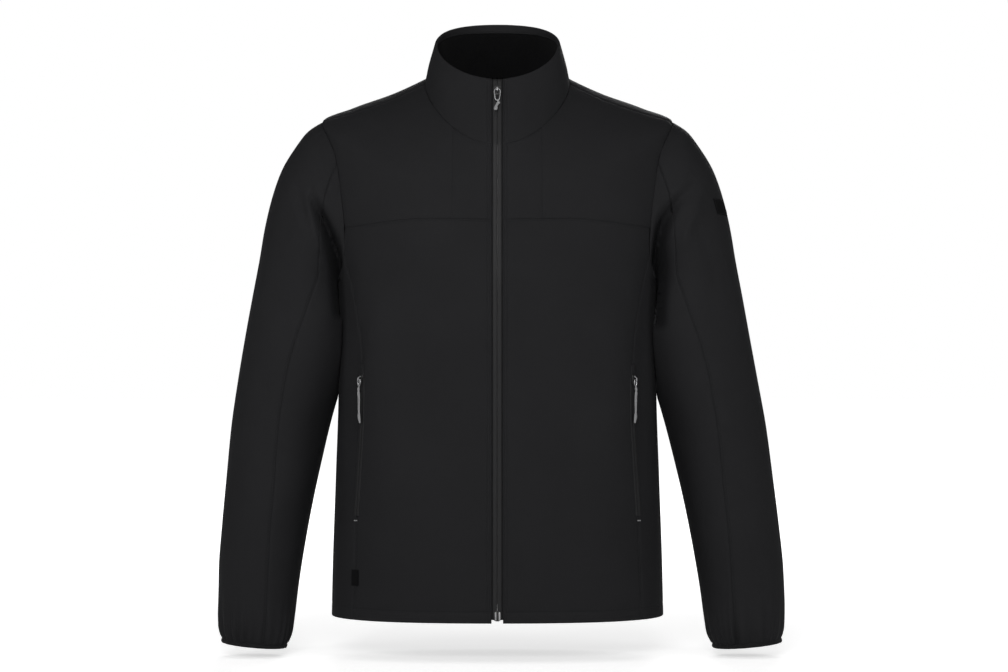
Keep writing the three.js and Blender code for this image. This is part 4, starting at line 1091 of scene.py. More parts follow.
def on_side(side, grid):
    """The grid, or on the wearer's right its mirror image, whose columns still run towards their left."""
    return grid if side == LEFT else grid[:, ::-1] * [-1, 1, 1]


def sleeve_normals(points, loop, column, side):
    """The surface's own normals. Where the sleeve runs on from the body rather than turning away from it,
    they start as the body's and fade into its own."""
    normals = smooth_normals(loop, column, side)
    body_way = body_normal(armhole_at(column[0]))
    runs_on = (((points[2] - points[0]) * body_way).sum(-1) < 0)[:, None]
    fade = np.clip(1 - loop / BODY_WAY_END, 0, 1)[..., None]
    return unit(np.where(runs_on, fade * body_way + (1 - fade) * normals, normals))


def sleeve_piece(name, first, last, length, stitches, seed):
    """One of the sleeve's two pieces on each side, between two columns that are seams."""
    sewn = {"top": ARMHOLE_SEAM, "left": 1, "right": 1, "bottom": 1}
    shares = spaced(length, stitches.get("left", ()), (), step=SLEEVE_STEP_ROUND)
    loop, column = np.meshgrid(sleeve_rows, first + (last - first) * shares, indexing="ij")
    for side, word in SIDES:
        points = sleeve_surface(loop, column, side)
        normals = sleeve_normals(points, loop, column, side)
        rows = stitches if side == LEFT else swapped(stitches)
        dress(f"cloth_{name}_{word}", on_side(side, points), on_side(side, normals), sewn, rows,
              (f"{name}_{word}",), seed + side)
    print(name, points.shape[:2], "points on each side")


sleeve_piece("sleeve_top", 0, TOP_EDGES, TOP_ROUND, {"left": (TOPSTITCH,)}, 20)
sleeve_piece("sleeve_under", TOP_EDGES, ARMHOLE_STEPS, UNDER_ROUND, {}, 30)

# %% [markdown]
# ## Cuffs
# An elastic binding is folded over the sleeve's end and sewn on while stretched. It is a narrow ribbed band
# with a round lower edge, and it is what gathers the cloth above it.

# %% Cuff bindings
CUFF_WALL = 2.6
CUFF_HEIGHT = 4.6
CUFF_OVERLAP = 2.6  # how far the binding comes up over the sleeve's end
CUFF_STAND, CUFF_BULGE = 0.7, 0.5  # how far the band stands out at its edges, and how much more between
CUFF_PUCKER = 0.35  # how much of the cloth's puckers it follows
CUFF_COLUMNS = 160


def cuff_ring(side):
    """Rows down the band's outside. It bulges by a parabola, and follows a little of the cloth's puckers."""
    drops = -CUFF_OVERLAP + (CUFF_HEIGHT + CUFF_OVERLAP) * spaced(CUFF_HEIGHT + CUFF_OVERLAP, (), ())
    columns = np.linspace(0, ARMHOLE_STEPS, CUFF_COLUMNS + 1)[:-1]
    end = np.full(columns.shape, float(CUFF_LOOP))
    ring = sleeve_point(end, column_degrees(end, columns), side)
    middle, reach = sleeve_axis(SLEEVE_SIDES[side][CUFF_LOOP])
    down = unit(np.array([reach[2], 0, -reach[0]]))
    outward = unit(ring - middle)
    t = drops / CUFF_HEIGHT * 2 - 1
    bulge = CUFF_STAND + CUFF_BULGE * (1 - t * t)
    wave = CUFF_PUCKER * cuff_puckers(end, columns, side)
    rim = ring + outward * wave[:, None]
    return rim + down * drops[:, None, None] + outward * bulge[:, None, None]


for side, word in SIDES:
    ring = on_side(side, cuff_ring(side))
    dress(f"cuff_binding_{word}", ring, grid_normals(ring, closed=True), {}, {},
          (f"cuff_{word}",), 40, CUFF_WALL, closed=True)
print("cuff bindings", ring.shape[:2], "points")

# %% [markdown]
# ## The front zip
# Softshells close with a coated coil zip turned inside out: outside there are only two smooth tape edges
# that meet in a fine line, and the coil is hidden behind them. The tapes stand a little forward in the gap
# that the front edges leave, and their wings run back under the edges, where they are sewn in.

# %% Zip tapes and coil
ZIP_TOP_LOOP = RIM_LOOP + 0.04
ZIP_END_Z = -683
TAPE_WALL = 0.5
TAPE_PROFILE = np.array([
    # x from the centre line, depth behind the body's surface
    [0.22, 1.15], [0.26, 0.9], [0.42, 0.68], [0.75, 0.6], [2.6, 0.54], [4.9, 0.6],
    [5.4, 0.72], [5.7, 1.1], [6, 1.7], [6.5, 2.05], [10, 2.1], [14.5, 2.1],
])
TOOTH_PITCH = 1.3
TOOTH_DEPTHS = (1.9, 3.7)
TOOTH_REACH = 2.7
TOOTH_OVERLAP = 0.4
TOOTH_HALF = 0.36  # half a tooth's height, as a share of the pitch
TAPE_SEAM = 1  # the width that the tape's bends add to its profile

zip_end_loop = float(place_at(1, ZIP_END_Z)[0])
zip_loops = np.linspace(ZIP_TOP_LOOP, zip_end_loop, 600)
zip_reach = lengths_along(body_point(np.stack([zip_loops, np.zeros_like(zip_loops)], -1)))
zip_length = zip_reach[-1]


def zip_line(distances, x, depth):
    """Points at distances down the zip, x from the centre line and depth behind the body's surface."""
    loops = np.interp(distances, zip_reach, zip_loops)
    loops, x = np.broadcast_arrays(loops, x)
    return cloth_point(np.stack([loops, angle_at_width(loops, x)], -1), depth)


def make_tape(side, word):
    """A tape as a wall between its profile and the same profile one thickness further back."""
    down = np.linspace(0, zip_length, 200)[:, None]
    x, depth = TAPE_PROFILE[None, :, 0], TAPE_PROFILE[None, :, 1]
    if side == RIGHT:
        x, depth = -x[:, ::-1], depth[:, ::-1]
    outer, inner = zip_line(down, x, depth), zip_line(down, x, depth + TAPE_WALL)
    piece = add_wall(f"front_tape_{word}", outer, inner, (f"zip_tape_{word}",))
    declare_sheet(piece, outer, TAPE_PROFILE[-1, 0] - TAPE_PROFILE[0, 0] + TAPE_SEAM, zip_length)


BRICK = np.array([[x, y, z] for x in (0, 1) for y in (-1, 1) for z in (0, 1)], float)
BRICK_FACES = np.array([[0, 1, 3, 2], [4, 6, 7, 5], [0, 4, 5, 1], [2, 3, 7, 6], [0, 2, 6, 4], [1, 5, 7, 3]])


def repeated(faces, count, points_each):
    """The faces of one pattern once for each copy, counting on through the copies' points."""
    return (faces[None] + points_each * np.arange(count)[:, None, None]).reshape(-1, faces.shape[1])


def make_teeth():
    """One brick for each tooth, by turns from the left and the right tape, meeting past the centre line."""
    down = np.arange(2, zip_length - 2, TOOTH_PITCH)
    side = np.where(np.arange(len(down)) % 2, 1, -1)
    x = side[:, None] * (BRICK[:, 0] * (TOOTH_REACH + TOOTH_OVERLAP) - TOOTH_OVERLAP)
    along = down[:, None] + BRICK[:, 1] * TOOTH_PITCH * TOOTH_HALF
    depth = TOOTH_DEPTHS[0] + BRICK[:, 2] * np.diff(TOOTH_DEPTHS) + 0 * x
    points = zip_line(along, x, depth)
    faces = repeated(BRICK_FACES, len(down), len(BRICK)).reshape(len(down), -1, 4)
    faces[side > 0] = faces[side > 0][..., ::-1]
    add_mesh("coil_teeth", points.reshape(-1, 3), faces.reshape(-1, 4).tolist(),
             replaces=("zip_coil",), smooth=False)
    print("zip:", round(float(zip_length)), "mm and", len(down), "teeth")


for side, word in SIDES:
    make_tape(side, word)
make_teeth()

# %% [markdown]
# ## The pocket zips
# Each pocket opens along the side-front seam. Its zip is narrow and has the cloth's own colour, so it shows
# as a slim flat band with a fine line in it. The slider parks under a small turned-over garage at the top,
# and a bar of light thread locks the lower end.

# %% Pocket zips
POCKET_TOP_Z, POCKET_BOTTOM_Z = -366, -558
GARAGE_BOTTOM_Z = -382.5
GARAGE_HALF_WIDTH, GARAGE_HEIGHT = 4.3, 1.75
STRIP_END_RADIUS = 1.2
STRIP_SINK, STRIP_FOOT = 0.3, 0.35  # how far a strip's ends and its inner side go down into the cloth
POCKET_TAPE_WIDTH = 9.1  # the profile's own width with its bends pressed flat
BARTACK_Z = -563.5
POCKET_PROFILE = np.array([
    # x from the seam, height over the cloth
    [-3.9, -0.3], [-3.8, 0.35], [-3.4, 0.72], [-2.6, 0.85], [-0.7, 0.85], [-0.28, 0.72], [-0.12, 0.35],
    [0.12, 0.35], [0.28, 0.72], [0.7, 0.85], [2.6, 0.85], [3.4, 0.72], [3.8, 0.35], [3.9, -0.3],
])
side_front_line = spline(SIDE_FRONT_SEAM, 400)


def seam_x(z):
    """The side-front seam's distance from the centre line at a height."""
    return np.interp(-np.asarray(z, float), -side_front_line[:, 1], side_front_line[:, 0])


def on_seam(x, z, height):
    """Points on the cloth at x beside the side-front seam and at z, raised by height."""
    x, z, height = np.broadcast_arrays(x, z, height)
    return cloth_point(place_at(seam_x(z) + x, z), -height)


def lay_strip(name, top_z, bottom_z, profile, replaces, side):
    """A strip along the seam with a cross profile. Its ends roll down to the cloth by the circle's rule."""
    length = top_z - bottom_z
    shares = spaced(length, (), ())
    z = (top_z - length * shares)[:, None]
    from_end = np.minimum(shares, 1 - shares)[:, None] * length
    ends = np.sqrt(np.maximum(1 - (1 - np.clip(from_end / STRIP_END_RADIUS, 0, 1)) ** 2, 0))
    height = profile[None, :, 1] * ends + (ends - 1) * STRIP_SINK
    outer = on_side(side, on_seam(profile[None, :, 0], z, height))
    inner = on_side(side, on_seam(profile[None, :, 0], z, np.minimum(height - 0.05, -STRIP_FOOT)))
    return add_wall(name, outer, inner, replaces), outer


garage_share = np.array([-1, -0.97, -0.88, -0.7, -0.35, 0, 0.35, 0.7, 0.88, 0.97, 1])
garage_x = garage_share * GARAGE_HALF_WIDTH
garage_rise = np.sqrt(np.maximum(1 - (garage_x / GARAGE_HALF_WIDTH) ** 4, 0))
garage_profile = np.stack([garage_x, GARAGE_HEIGHT * garage_rise], -1)
for side, word in SIDES:
    piece, outer = lay_strip(f"pocket_tape_{word}", POCKET_TOP_Z, POCKET_BOTTOM_Z, POCKET_PROFILE,
                             (f"pocket_zip_{word}",), side)
    declare_sheet(piece, outer, POCKET_TAPE_WIDTH, POCKET_TOP_Z - POCKET_BOTTOM_Z)
    lay_strip(f"pocket_garage_{word}", POCKET_TOP_Z + 1, GARAGE_BOTTOM_Z, garage_profile, (), side)
print("pocket zips", outer.shape[:2], "points each")

# %% [markdown]
# ## Sliders and pullers
# The metal parts are small castings with no sharp edge. Each is made here from two kinds of round shape: a
# strand, which is a tube of changing thickness along a curve, and a blob, which is a box whose edges and
# corners are rounded away. They are shaped in a frame of their own, whose origin is the puller's hinge, and
# then set on the cloth.

# %% Round shapes
KNOT_STEPS = 30  # how finely a strand's curve is measured between two knots
STRAND_TIP = 0.003  # the square of the share of its thickness that a strand keeps at its very ends
POLE = 1e-4


def tube_faces(rows, columns):
    """Quads of a tube's grid, and one flat face at each end."""
    corners = list(range(rows * columns))
    return grid_faces(rows, columns, True).tolist() + [corners[:columns][::-1], corners[-columns:]]


def outwards(points, faces):
    """The shape with its faces turned out: they are turned round where its signed volume is negative."""
    volume = sum(np.dot(points[f[0]], np.cross(points[f[k]], points[f[k + 1]]))
                 for f in faces for k in range(1, len(f) - 1))
    return points, [face[::-1] for face in faces] if volume < 0 else faces


def strand(knots, lay=(0, 1, 0), count=40, sides=10, flatness=1, ring=False):
    """A tube through knots of x, y, z and radius. Its section is an ellipse, flatness times as thick along
    lay, and its ends are rounded by the circle's rule."""
    knots = np.asarray(knots, float)
    closed = np.vstack([knots[-1:], knots, knots[:2]]) if ring else knots
    fine = spline(closed, KNOT_STEPS * (len(closed) - 1) + 1)
    if ring:
        fine = fine[KNOT_STEPS:-KNOT_STEPS]
    reach = lengths_along(fine[:, :3])
    u = np.linspace(0, 1, count + 1)[:-1] if ring else (1 - np.cos(np.pi * np.linspace(0, 1, count))) / 2
    line = np.stack([np.interp(u * reach[-1], reach, fine[:, k]) for k in range(4)], -1)
    path, radius = line[:, :3], line[:, 3]
    if ring:
        tangent = np.roll(path, -1, axis=0) - np.roll(path, 1, axis=0)
    else:
        tangent = np.gradient(path, axis=0)
        from_end = np.minimum(u, 1 - u) * reach[-1]
        radius = radius * np.sqrt(np.maximum(1 - (1 - np.clip(from_end / radius, 0, 1)) ** 2, STRAND_TIP))
    tangent = unit(tangent)
    side = unit(np.cross(np.asarray(lay, float), tangent))
    up = unit(np.cross(tangent, side))
    turn = np.linspace(0, 2 * np.pi, sides + 1)[:-1, None]
    section = side[:, None] * np.cos(turn) + up[:, None] * np.sin(turn) * flatness
    points = (path[:, None] + section * radius[:, None, None]).reshape(-1, 3)
    faces = grid_faces(count, sides, True, True).tolist() if ring else tube_faces(count, sides)
    return outwards(points, faces)


def blob(centre, half, powers, taper=0, rows=18, columns=28):
    """A rounded box: a superellipsoid, whose sections are a superellipse of the first power and whose
    outline from above is one of the second. It narrows by taper from its top to its foot."""
    v = np.linspace(-np.pi / 2, np.pi / 2, rows)[:, None]
    h = np.linspace(0, 2 * np.pi, columns + 1)[None, :-1]
    upright, level = 2 / powers[0], 2 / powers[1]
    out = signed_power(np.cos(v), upright, POLE)
    x = out * signed_power(np.cos(h), level, POLE)
    y = out * signed_power(np.sin(h), level, POLE)
    z = signed_power(np.sin(v), upright, POLE) + 0 * h
    points = (np.stack([x * (1 + taper * z), y, z], -1) * half + centre).reshape(-1, 3)
    return outwards(points, tube_faces(rows, columns))


def together(shapes):
    """Several shapes as one list of points and one of faces."""
    points, faces, start = [], [], 0
    for shape_points, shape_faces in shapes:
        points.append(shape_points)
        faces += [[index + start for index in face] for face in shape_faces]
        start += len(shape_points)
    return np.concatenate(points), faces


print("a tube of 4 rings of 10 points has", len(tube_faces(4, 10)), "faces")

# %% Setting shapes on the cloth
HINGE_DEPTH = 4.6
HINGE_TURN = 3 * DEGREE  # how far round the body the slope beside a hinge is taken
AS_DRAWN = (np.zeros(3), np.eye(3))


def hardware_frame(place, down_place):
    """The hinge's point and the axes across, into the garment and up, taken from the cloth and its folds."""
    place, down_place = np.asarray(place, float), np.asarray(down_place, float)
    up = unit(cloth_point(place) - cloth_point(down_place))
    around = cloth_point(place + [0, HINGE_TURN]) - cloth_point(place - [0, HINGE_TURN])
    normal = unit(np.cross(around, up))
    across = unit(-np.cross(normal, up))
    return cloth_point(place) + normal * HINGE_DEPTH, np.stack([across, -normal, up])


def set_shapes(name, shapes, frame_on, body="jacket", replaces=(), side=LEFT):
    """Shapes set on the cloth by their frame, or by its mirror image on the wearer's right."""
    points, faces = together(shapes)
    origin, axes = frame_on
    points = origin + points @ axes
    if side == RIGHT:
        points, faces = points * [-1, 1, 1], [face[::-1] for face in faces]
    add_mesh(name, points, faces, body, replaces)


print("a hinge lies", HINGE_DEPTH, "mm out from the cloth")

# %% Sliders
SLIDER_HALF_WIDTH, SLIDER_WALL, SLIDER_LENGTH = 4.4, 1.5, 12
BRIDGE_REACH = 4.2
RING_FOOT = 0.75  # a ring's half width near its foot, as a share of that near its top


def slider_shapes(face_depth, size=1):
    """A plate that narrows downwards, with two rolled flanges, and apart from it the bridge that holds the
    puller."""
    face = HINGE_DEPTH + face_depth
    middle = face - SLIDER_WALL / 2
    half_width = SLIDER_HALF_WIDTH * size
    plate = blob((0, middle, 0), (half_width, 0.8, SLIDER_LENGTH / 2), (7, 3.2), taper=0.17)
    top = face - SLIDER_WALL
    upper = [
        (0, top + 0.6, BRIDGE_REACH, 0.8), (0, top - 0.5, BRIDGE_REACH - 0.5, 0.75), (0, -1.2, 2.2, 0.62),
        (0, -2, 0.9, 0.58),
    ]
    lower = [(x, y, -z, radius) for x, y, z, radius in upper[::-1]]
    bridge = strand(upper + lower, lay=(1, 0, 0), flatness=1.7)
    flanges = [
        strand([(s * (half_width - 0.2), middle, 4.8, 0.72), (s * (half_width - 1), middle, 0, 0.72),
                (s * (half_width - 1.5), middle, -4.8, 0.72)])
        for s in (-1, 1)
    ]
    return [plate, *flanges], [bridge]


def slot_ring(half_width, top, bottom, radius):
    """An upright ring, narrower and thicker at its foot."""
    low = half_width * RING_FOOT
    one_side = [
        (half_width * 0.75, 0, top - 1.2, radius), (half_width, 0, top - 4, radius),
        ((half_width + low) / 2, 0, (top + bottom) / 2, radius), (low * 0.85, 0, bottom + 1.6, radius * 1.1),
    ]
    other_side = [(-x, y, z, thick) for x, y, z, thick in one_side[::-1]]
    return [(0, 0, top, radius), *one_side, (0, 0, bottom, radius * 1.25), *other_side]


print("a ring has", len(slot_ring(4, 0, -16, 0.7)), "knots")

# %% The main puller
FRONT_SLIDER_LOOP = -2.42
PULL_REACH_LOOPS = 0.7
FRONT_FACE_DEPTH = 0.3  # how far the slider's face lies behind the cloth beside the zip
front_frame = hardware_frame((FRONT_SLIDER_LOOP, 0), (FRONT_SLIDER_LOOP + PULL_REACH_LOOPS, 0))
plate, bridge = slider_shapes(FRONT_FACE_DEPTH)
set_shapes("front_slider", plate, front_frame, replaces=("zip_slider",))
set_shapes("front_bridge", bridge, front_frame)
set_shapes("front_ring", [strand(slot_ring(3.9, 0.3, -15.4, 0.72), count=60, ring=True)],
           front_frame, "front_puller", ("zip_pull",))

twist = np.linspace(0, 1, 9)
cords = [
    strand([
        (2.4 * math.sin(math.pi * t) * (1 - t) - 1.7 * t + 0.75 * math.cos(5 * t + phase),
         0.55 * math.sin(5 * t + phase), -14.6 - 10.4 * t, 0.95)
        for t in twist
    ], count=36)
    for phase in (0, math.pi)
]
set_shapes("front_cord", cords, front_frame, "front_puller")
front_grip = [
    strand([(-0.6, 0, -21.5, 1.1), (-1.3, 0, -23.5, 1.7), (-1.9, 0, -26, 2.4), (-2.3, 0, -29.4, 2.3)],
           flatness=0.72, count=30, sides=16),
    strand([(2.4, 0, -17.2, 1.6), (1.4, 0, -20.6, 1.5)], flatness=0.8, count=20, sides=14),
]
set_shapes("front_grip", front_grip, front_frame, "front_puller")
print("front hinge at", np.round(front_frame[0], 2))

# %% The pocket pullers
POCKET_SLIDER_Z = -384
POCKET_PULL_LENGTH = 56
POCKET_FACE_DEPTH, POCKET_SIZE = -1.1, 0.8
BARTACK_HALF, BARTACK_HEIGHT, BARTACK_RADIUS, BARTACK_KNOTS = 2.2, 0.45, 0.75, 9
seam_frame = hardware_frame(
    place_at(seam_x(POCKET_SLIDER_Z), POCKET_SLIDER_Z),
    place_at(seam_x(POCKET_SLIDER_Z - POCKET_PULL_LENGTH), POCKET_SLIDER_Z - POCKET_PULL_LENGTH),
)
pocket_cords = [
    strand([
        (0.4 * s, 0, -8.6, 0.95), (-0.6 * s + 0.9, 0.4 * s, -12.5, 0.95),
        (0.6 * s + 0.9, -0.4 * s, -17, 0.95), (1.25 * s + 0.2, 0, -21.5, 0.8),
        (1.25 * s - 0.1, 0, -30, 0.75), (1.0 * s - 0.3, 0, -39, 0.75),
        (0.4 * s - 0.4, 0, -44, 0.8),
    ], count=56)
    for s in (-1, 1)
]
pocket_grip = [
    strand([(-0.4, 0, -40.5, 1.1), (-0.5, 0, -43.5, 1.9), (-0.7, 0, -47.2, 2.5), (-1.4, 0, -50.4, 2.2),
            (-2.2, 0, -53, 1.55), (-2.8, 0, -55.6, 1.6)], flatness=0.66, count=40, sides=16),
    strand([(2.2, 0, -18.6, 1.05), (2.6, 0, -19.6, 1.05)], count=14),
]
pocket_ring = strand(slot_ring(2.7, 0.3, -8.6, 0.62), count=48, ring=True)
plate, bridge = slider_shapes(POCKET_FACE_DEPTH, POCKET_SIZE)
for side, word in SIDES:
    puller = f"{word}_puller"
    for name, shapes, slot, body, replaces in [
        ("runner", plate, "grey_metal", "jacket", (f"pocket_slider_{word}",)),
        ("bridge", bridge, "grey_metal", "jacket", ()),
        ("ring", [pocket_ring], "grey_metal", puller, (f"pocket_pull_{word}",)),
        ("cord", pocket_cords, "grey_pull", puller, ()),
        ("grip", pocket_grip, "grey_pull", puller, ()),
    ]:
        set_shapes(f"pocket_{name}_{word}", shapes, seam_frame, body, replaces, side)
    bar = np.linspace(-BARTACK_HALF, BARTACK_HALF, BARTACK_KNOTS)
    bartack = on_seam(bar, BARTACK_Z, BARTACK_HEIGHT) * [side, 1, 1]
    lay = body_normal(place_at(seam_x(BARTACK_Z), BARTACK_Z)) * [side, 1, 1]
    knots = np.column_stack([bartack, np.full(BARTACK_KNOTS, BARTACK_RADIUS)])
    set_shapes(f"pocket_bartack_{word}", [strand(knots, lay=lay)], AS_DRAWN)
print("left pocket hinge at", np.round(seam_frame[0], 2))

# %% [markdown]
# ## The foot of the zip
# The zip ends in a small dark retainer box. On its face lie two bright bars, the box's own edge and the pin
# beside it, in the notch where the hem's corners are rounded off.

# %% Zip box
BOX_HALF = (4, 1.5, 6.4)
BOX_MIDDLE_Z = -680.6
BOX_DEPTH = 1.3  # how far the box's middle lies behind the cloth
BARS = [(-2.1, 1.1), (2.9, 1.2)]  # each bar's distance from the centre line and half its width
BAR_AHEAD, BAR_HALF_HEIGHT = 1.2, 5.4
hem_front = cloth_point(np.array([HEM_LOOP, 0.0]))
foot = np.array([0, hem_front[1] + BOX_DEPTH, BOX_MIDDLE_Z])
bars = [blob(foot + [x, -BAR_AHEAD, -0.2], (half, 1.1, BAR_HALF_HEIGHT), (5, 3)) for x, half in BARS]
set_shapes("zip_retainer", [blob(foot, BOX_HALF, (5, 3.5))], AS_DRAWN, replaces=("zip_box",))
set_shapes("zip_pins", bars, AS_DRAWN)
print("retainer", 2 * BOX_HALF[2], "mm tall")

# %% [markdown]
# ## Label and tag
# A woven patch is sewn to the wearer's left sleeve, and a small folded tag to the seam near the hem on the
# right. Both are left plain.

# %% Sleeve label and hem tag
LABEL_MIDDLE, LABEL_HALF = (-36, -164), (14, 10)  # y and z on the sleeve
TAG_MIDDLE, TAG_HALF = (-180.5, -636), (4.5, 10)  # x and z on the front
LABEL_STITCH = 1.2
NEWTON_STEPS = 12
PATCH_WALL = 1
LAY_GAP = 0.3
TAG_CURL = 0.5  # how much further the tag's two sides stand off than its middle


def patch_grid(middle, half, rows=()):
    """The flat view's two ways across a patch, as grids that run down it and across it."""
    down = middle[1] + half[1] - 2 * half[1] * spaced(2 * half[1], rows, rows)
    across = middle[0] - half[0] + 2 * half[0] * spaced(2 * half[0], rows, rows)
    return np.meshgrid(down, across, indexing="ij")


def sleeve_place(y, z):
    """The loop and degrees of the sleeve's outer side at y and z, by Newton's method."""
    step = 0.01
    loop, degrees = np.full(y.shape, 4.0), np.full(y.shape, float(OUTER_DEGREES))
    for _ in range(NEWTON_STEPS):
        at = sleeve_point(loop, degrees)
        by_loop = (sleeve_point(loop + step, degrees) - at) / step
        by_turn = (sleeve_point(loop, degrees + step) - at) / step
        size = by_loop[..., 1] * by_turn[..., 2] - by_loop[..., 2] * by_turn[..., 1]
        dy, dz = y - at[..., 1], z - at[..., 2]
        loop = loop + (dy * by_turn[..., 2] - dz * by_turn[..., 1]) / size
        degrees = degrees + (by_loop[..., 1] * dz - by_loop[..., 2] * dy) / size
    return loop, degrees


def label_surface(y, z):
    """The sleeve's surface at y and z with its folds, as the label lies on it."""
    loop, degrees = sleeve_place(y, z)
    middle, _ = sleeve_axis(read_rows(SLEEVE_LOOPS, loop))
    point = sleeve_point(loop, degrees)
    return point + unit(point - middle) * fold_height(SLEEVE_FOLDS, loop, degrees, LEFT)[..., None]


z, y = patch_grid(LABEL_MIDDLE, LABEL_HALF, (LABEL_STITCH,))
surface = label_surface(y, z)
normals = grid_normals(surface)
rows = {side: (LABEL_STITCH,) for side in ("top", "bottom", "left", "right")}
dress("woven_label", surface + normals * (LAY_GAP + PATCH_WALL), normals, {}, rows,
      ("sleeve_label",), 60, PATCH_WALL)

z, x = patch_grid(TAG_MIDDLE, TAG_HALF)
places = place_at(x, z)
lift = LAY_GAP + PATCH_WALL + TAG_CURL * ((x - TAG_MIDDLE[0]) / TAG_HALF[0]) ** 2
dress("folded_tag", cloth_point(places, -lift), body_normal(places), {}, {}, ("hem_tag",), 61,
      PATCH_WALL)
print("label", surface.shape[:2], "points; tag", z.shape, "points")

# %% [markdown]
# ## Stitches
# Every line that was kept is now sewn. A stitch is two and a half millimetres of thread lying in the valley
# that it has pulled, and there is one every three millimetres. All of them are one mesh, made from a small
# pattern that is set down again and again.

# %% Sewing
STITCH_PITCH = 3
STITCH_HALF = np.array([1.15, 0.3, 0.22])
STITCH_RINGS = np.array([-1, -0.55, 0.55, 1])
STITCH_THICK = np.array([0.35, 1, 1, 0.35])
STITCH_RISE = np.array([-0.25, 0.12, 0.12, -0.25])


def read_line(at, reach, values):
    """The values of a line at distances along it."""
    return np.stack([np.interp(at, reach, values[:, k]) for k in range(values.shape[1])], -1)


def stitch_pattern():
    """Four rings of four corners along the thread, thin and low at both ends, and its quads."""
    corner = np.array([[1, 0], [0, 1], [-1, 0], [0, -1]], float)
    rings = [
        np.column_stack([np.full(4, along), corner * thick + [0, rise / STITCH_HALF[2]]])
        for along, thick, rise in zip(STITCH_RINGS, STITCH_THICK, STITCH_RISE)
    ]
    return np.concatenate(rings) * STITCH_HALF, np.array(tube_faces(4, 4))


def sew(lines):
    """The pattern at even steps along each line, turned to run along it and to stand on the cloth."""
    pattern, quads = stitch_pattern()
    places, ways, ups = [], [], []
    for points, normals in lines:
        reach = lengths_along(points)
        at = np.arange(STITCH_PITCH, reach[-1] - STITCH_PITCH, STITCH_PITCH)
        if len(at) == 0:
            continue
        places.append(read_line(at, reach, points))
        ways.append(unit(read_line(at + 1, reach, points) - read_line(at - 1, reach, points)))
        ups.append(unit(read_line(at, reach, normals)))
    place, way, up = (np.concatenate(group) for group in (places, ways, ups))
    across = unit(np.cross(up, way))
    axes = (way[..., None], across[..., None], up[..., None])
    shaped = sum(pattern[:, k] * axis for k, axis in enumerate(axes))
    points = place[:, None] + shaped.swapaxes(1, 2)
    return points.reshape(-1, 3), repeated(quads, len(place), len(pattern)), len(place)


points, faces, stitch_count = sew(stitch_lines)
add_mesh("topstitching", points, faces.tolist())
print("stitches:", stitch_count)

# %% [markdown]
# ## Finishes
# Softshell is a tight woven face bonded to fleece. Its face is almost black, dull, and a little brighter
# where it turns away from the eye, because short fibres catch the light; a sheen does that. Three effects
# are used by several finishes, so each is a group of its own: an uneven tone, a twill weave and a rib.

# %% Node helpers


def new_group(name, inputs, outputs):
    """An empty shader node group with these sockets, and its two end nodes."""
    group = bpy.data.node_groups.new(name, "ShaderNodeTree")
    for socket, kind, default in inputs:
        group.interface.new_socket(socket, in_out="INPUT", socket_type=kind).default_value = default
    for socket, kind in outputs:
        group.interface.new_socket(socket, in_out="OUTPUT", socket_type=kind)
    return group, group.nodes.new("NodeGroupInput"), group.nodes.new("NodeGroupOutput")


def add_node(tree, kind, settings=None, **links):
    """A node with its settings. Each link names an input, by index for i0, i1 and so on, and gives either a
    socket to join it to or a plain value."""
    node = tree.nodes.new(kind)
    for key, value in (settings or {}).items():
        setattr(node, key, value)
    for key, value in links.items():
        socket = node.inputs[int(key[1:]) if key[1:].isdigit() else key.replace("_", " ")]
        if isinstance(value, bpy.types.NodeSocket):
            tree.links.new(value, socket)
        else:
            socket.default_value = value
    return node


def math_node(tree, operation, a, b=0.0):
    """The result of one sum on two sockets or values."""
    return add_node(tree, "ShaderNodeMath", {"operation": operation}, i0=a, i1=b).outputs[0]


FLOAT, COLOUR, VECTOR = "NodeSocketFloat", "NodeSocketColor", "NodeSocketVector"
print("kinds of socket:", FLOAT, COLOUR, VECTOR)

# %% Effect groups
tone_group, g_in, g_out = new_group(
    "uneven tone",
    [("Colour", COLOUR, (0.5, 0.5, 0.5, 1)), ("Spread", FLOAT, 0.1), ("Patch Scale", FLOAT, 9.0),
     ("Grain Scale", FLOAT, 900.0)],
    [("Colour", COLOUR)],
)
place = add_node(tone_group, "ShaderNodeTexCoord").outputs["Object"]
patch = add_node(tone_group, "ShaderNodeTexNoise", Vector=place, Scale=g_in.outputs["Patch Scale"],
                 Detail=3.0, Roughness=0.5)
grain = add_node(tone_group, "ShaderNodeTexNoise", Vector=place, Scale=g_in.outputs["Grain Scale"],
                 Detail=1.0, Roughness=0.5)
both = math_node(tone_group, "ADD", patch.outputs["Fac"], grain.outputs["Fac"])
swing = math_node(tone_group, "SUBTRACT", both, 1.0)
swing = math_node(tone_group, "MULTIPLY", swing, g_in.outputs["Spread"])
shade = add_node(tone_group, "ShaderNodeVectorMath", {"operation": "SCALE"}, i0=g_in.outputs["Colour"],
                 Scale=math_node(tone_group, "ADD", swing, 1.0))
tone_group.links.new(shade.outputs[0], g_out.inputs["Colour"])


def relief_group(name, rate, value, strength, distance, height_of):
    """A group that bumps the cloth by a height made from its own UV and the rate of its repeats."""
    group, g_in, g_out = new_group(
        name,
        [(rate, FLOAT, value), ("Strength", FLOAT, strength), ("Distance", FLOAT, distance)],
        [("Normal", VECTOR)],
    )
    cloth_uv = add_node(group, "ShaderNodeUVMap", {"uv_map": CLOTH_UV})
    parts = add_node(group, "ShaderNodeSeparateXYZ", Vector=cloth_uv.outputs["UV"])
    height = height_of(group, parts.outputs["X"], parts.outputs["Y"], g_in.outputs[rate])
    bump = add_node(group, "ShaderNodeBump", Strength=g_in.outputs["Strength"],
                    Distance=g_in.outputs["Distance"], Height=height)
    group.links.new(bump.outputs["Normal"], g_out.inputs["Normal"])
    return group


def wave(group, along, rate):
    """The sine of a distance times a rate."""
    return math_node(group, "SINE", math_node(group, "MULTIPLY", along, rate))


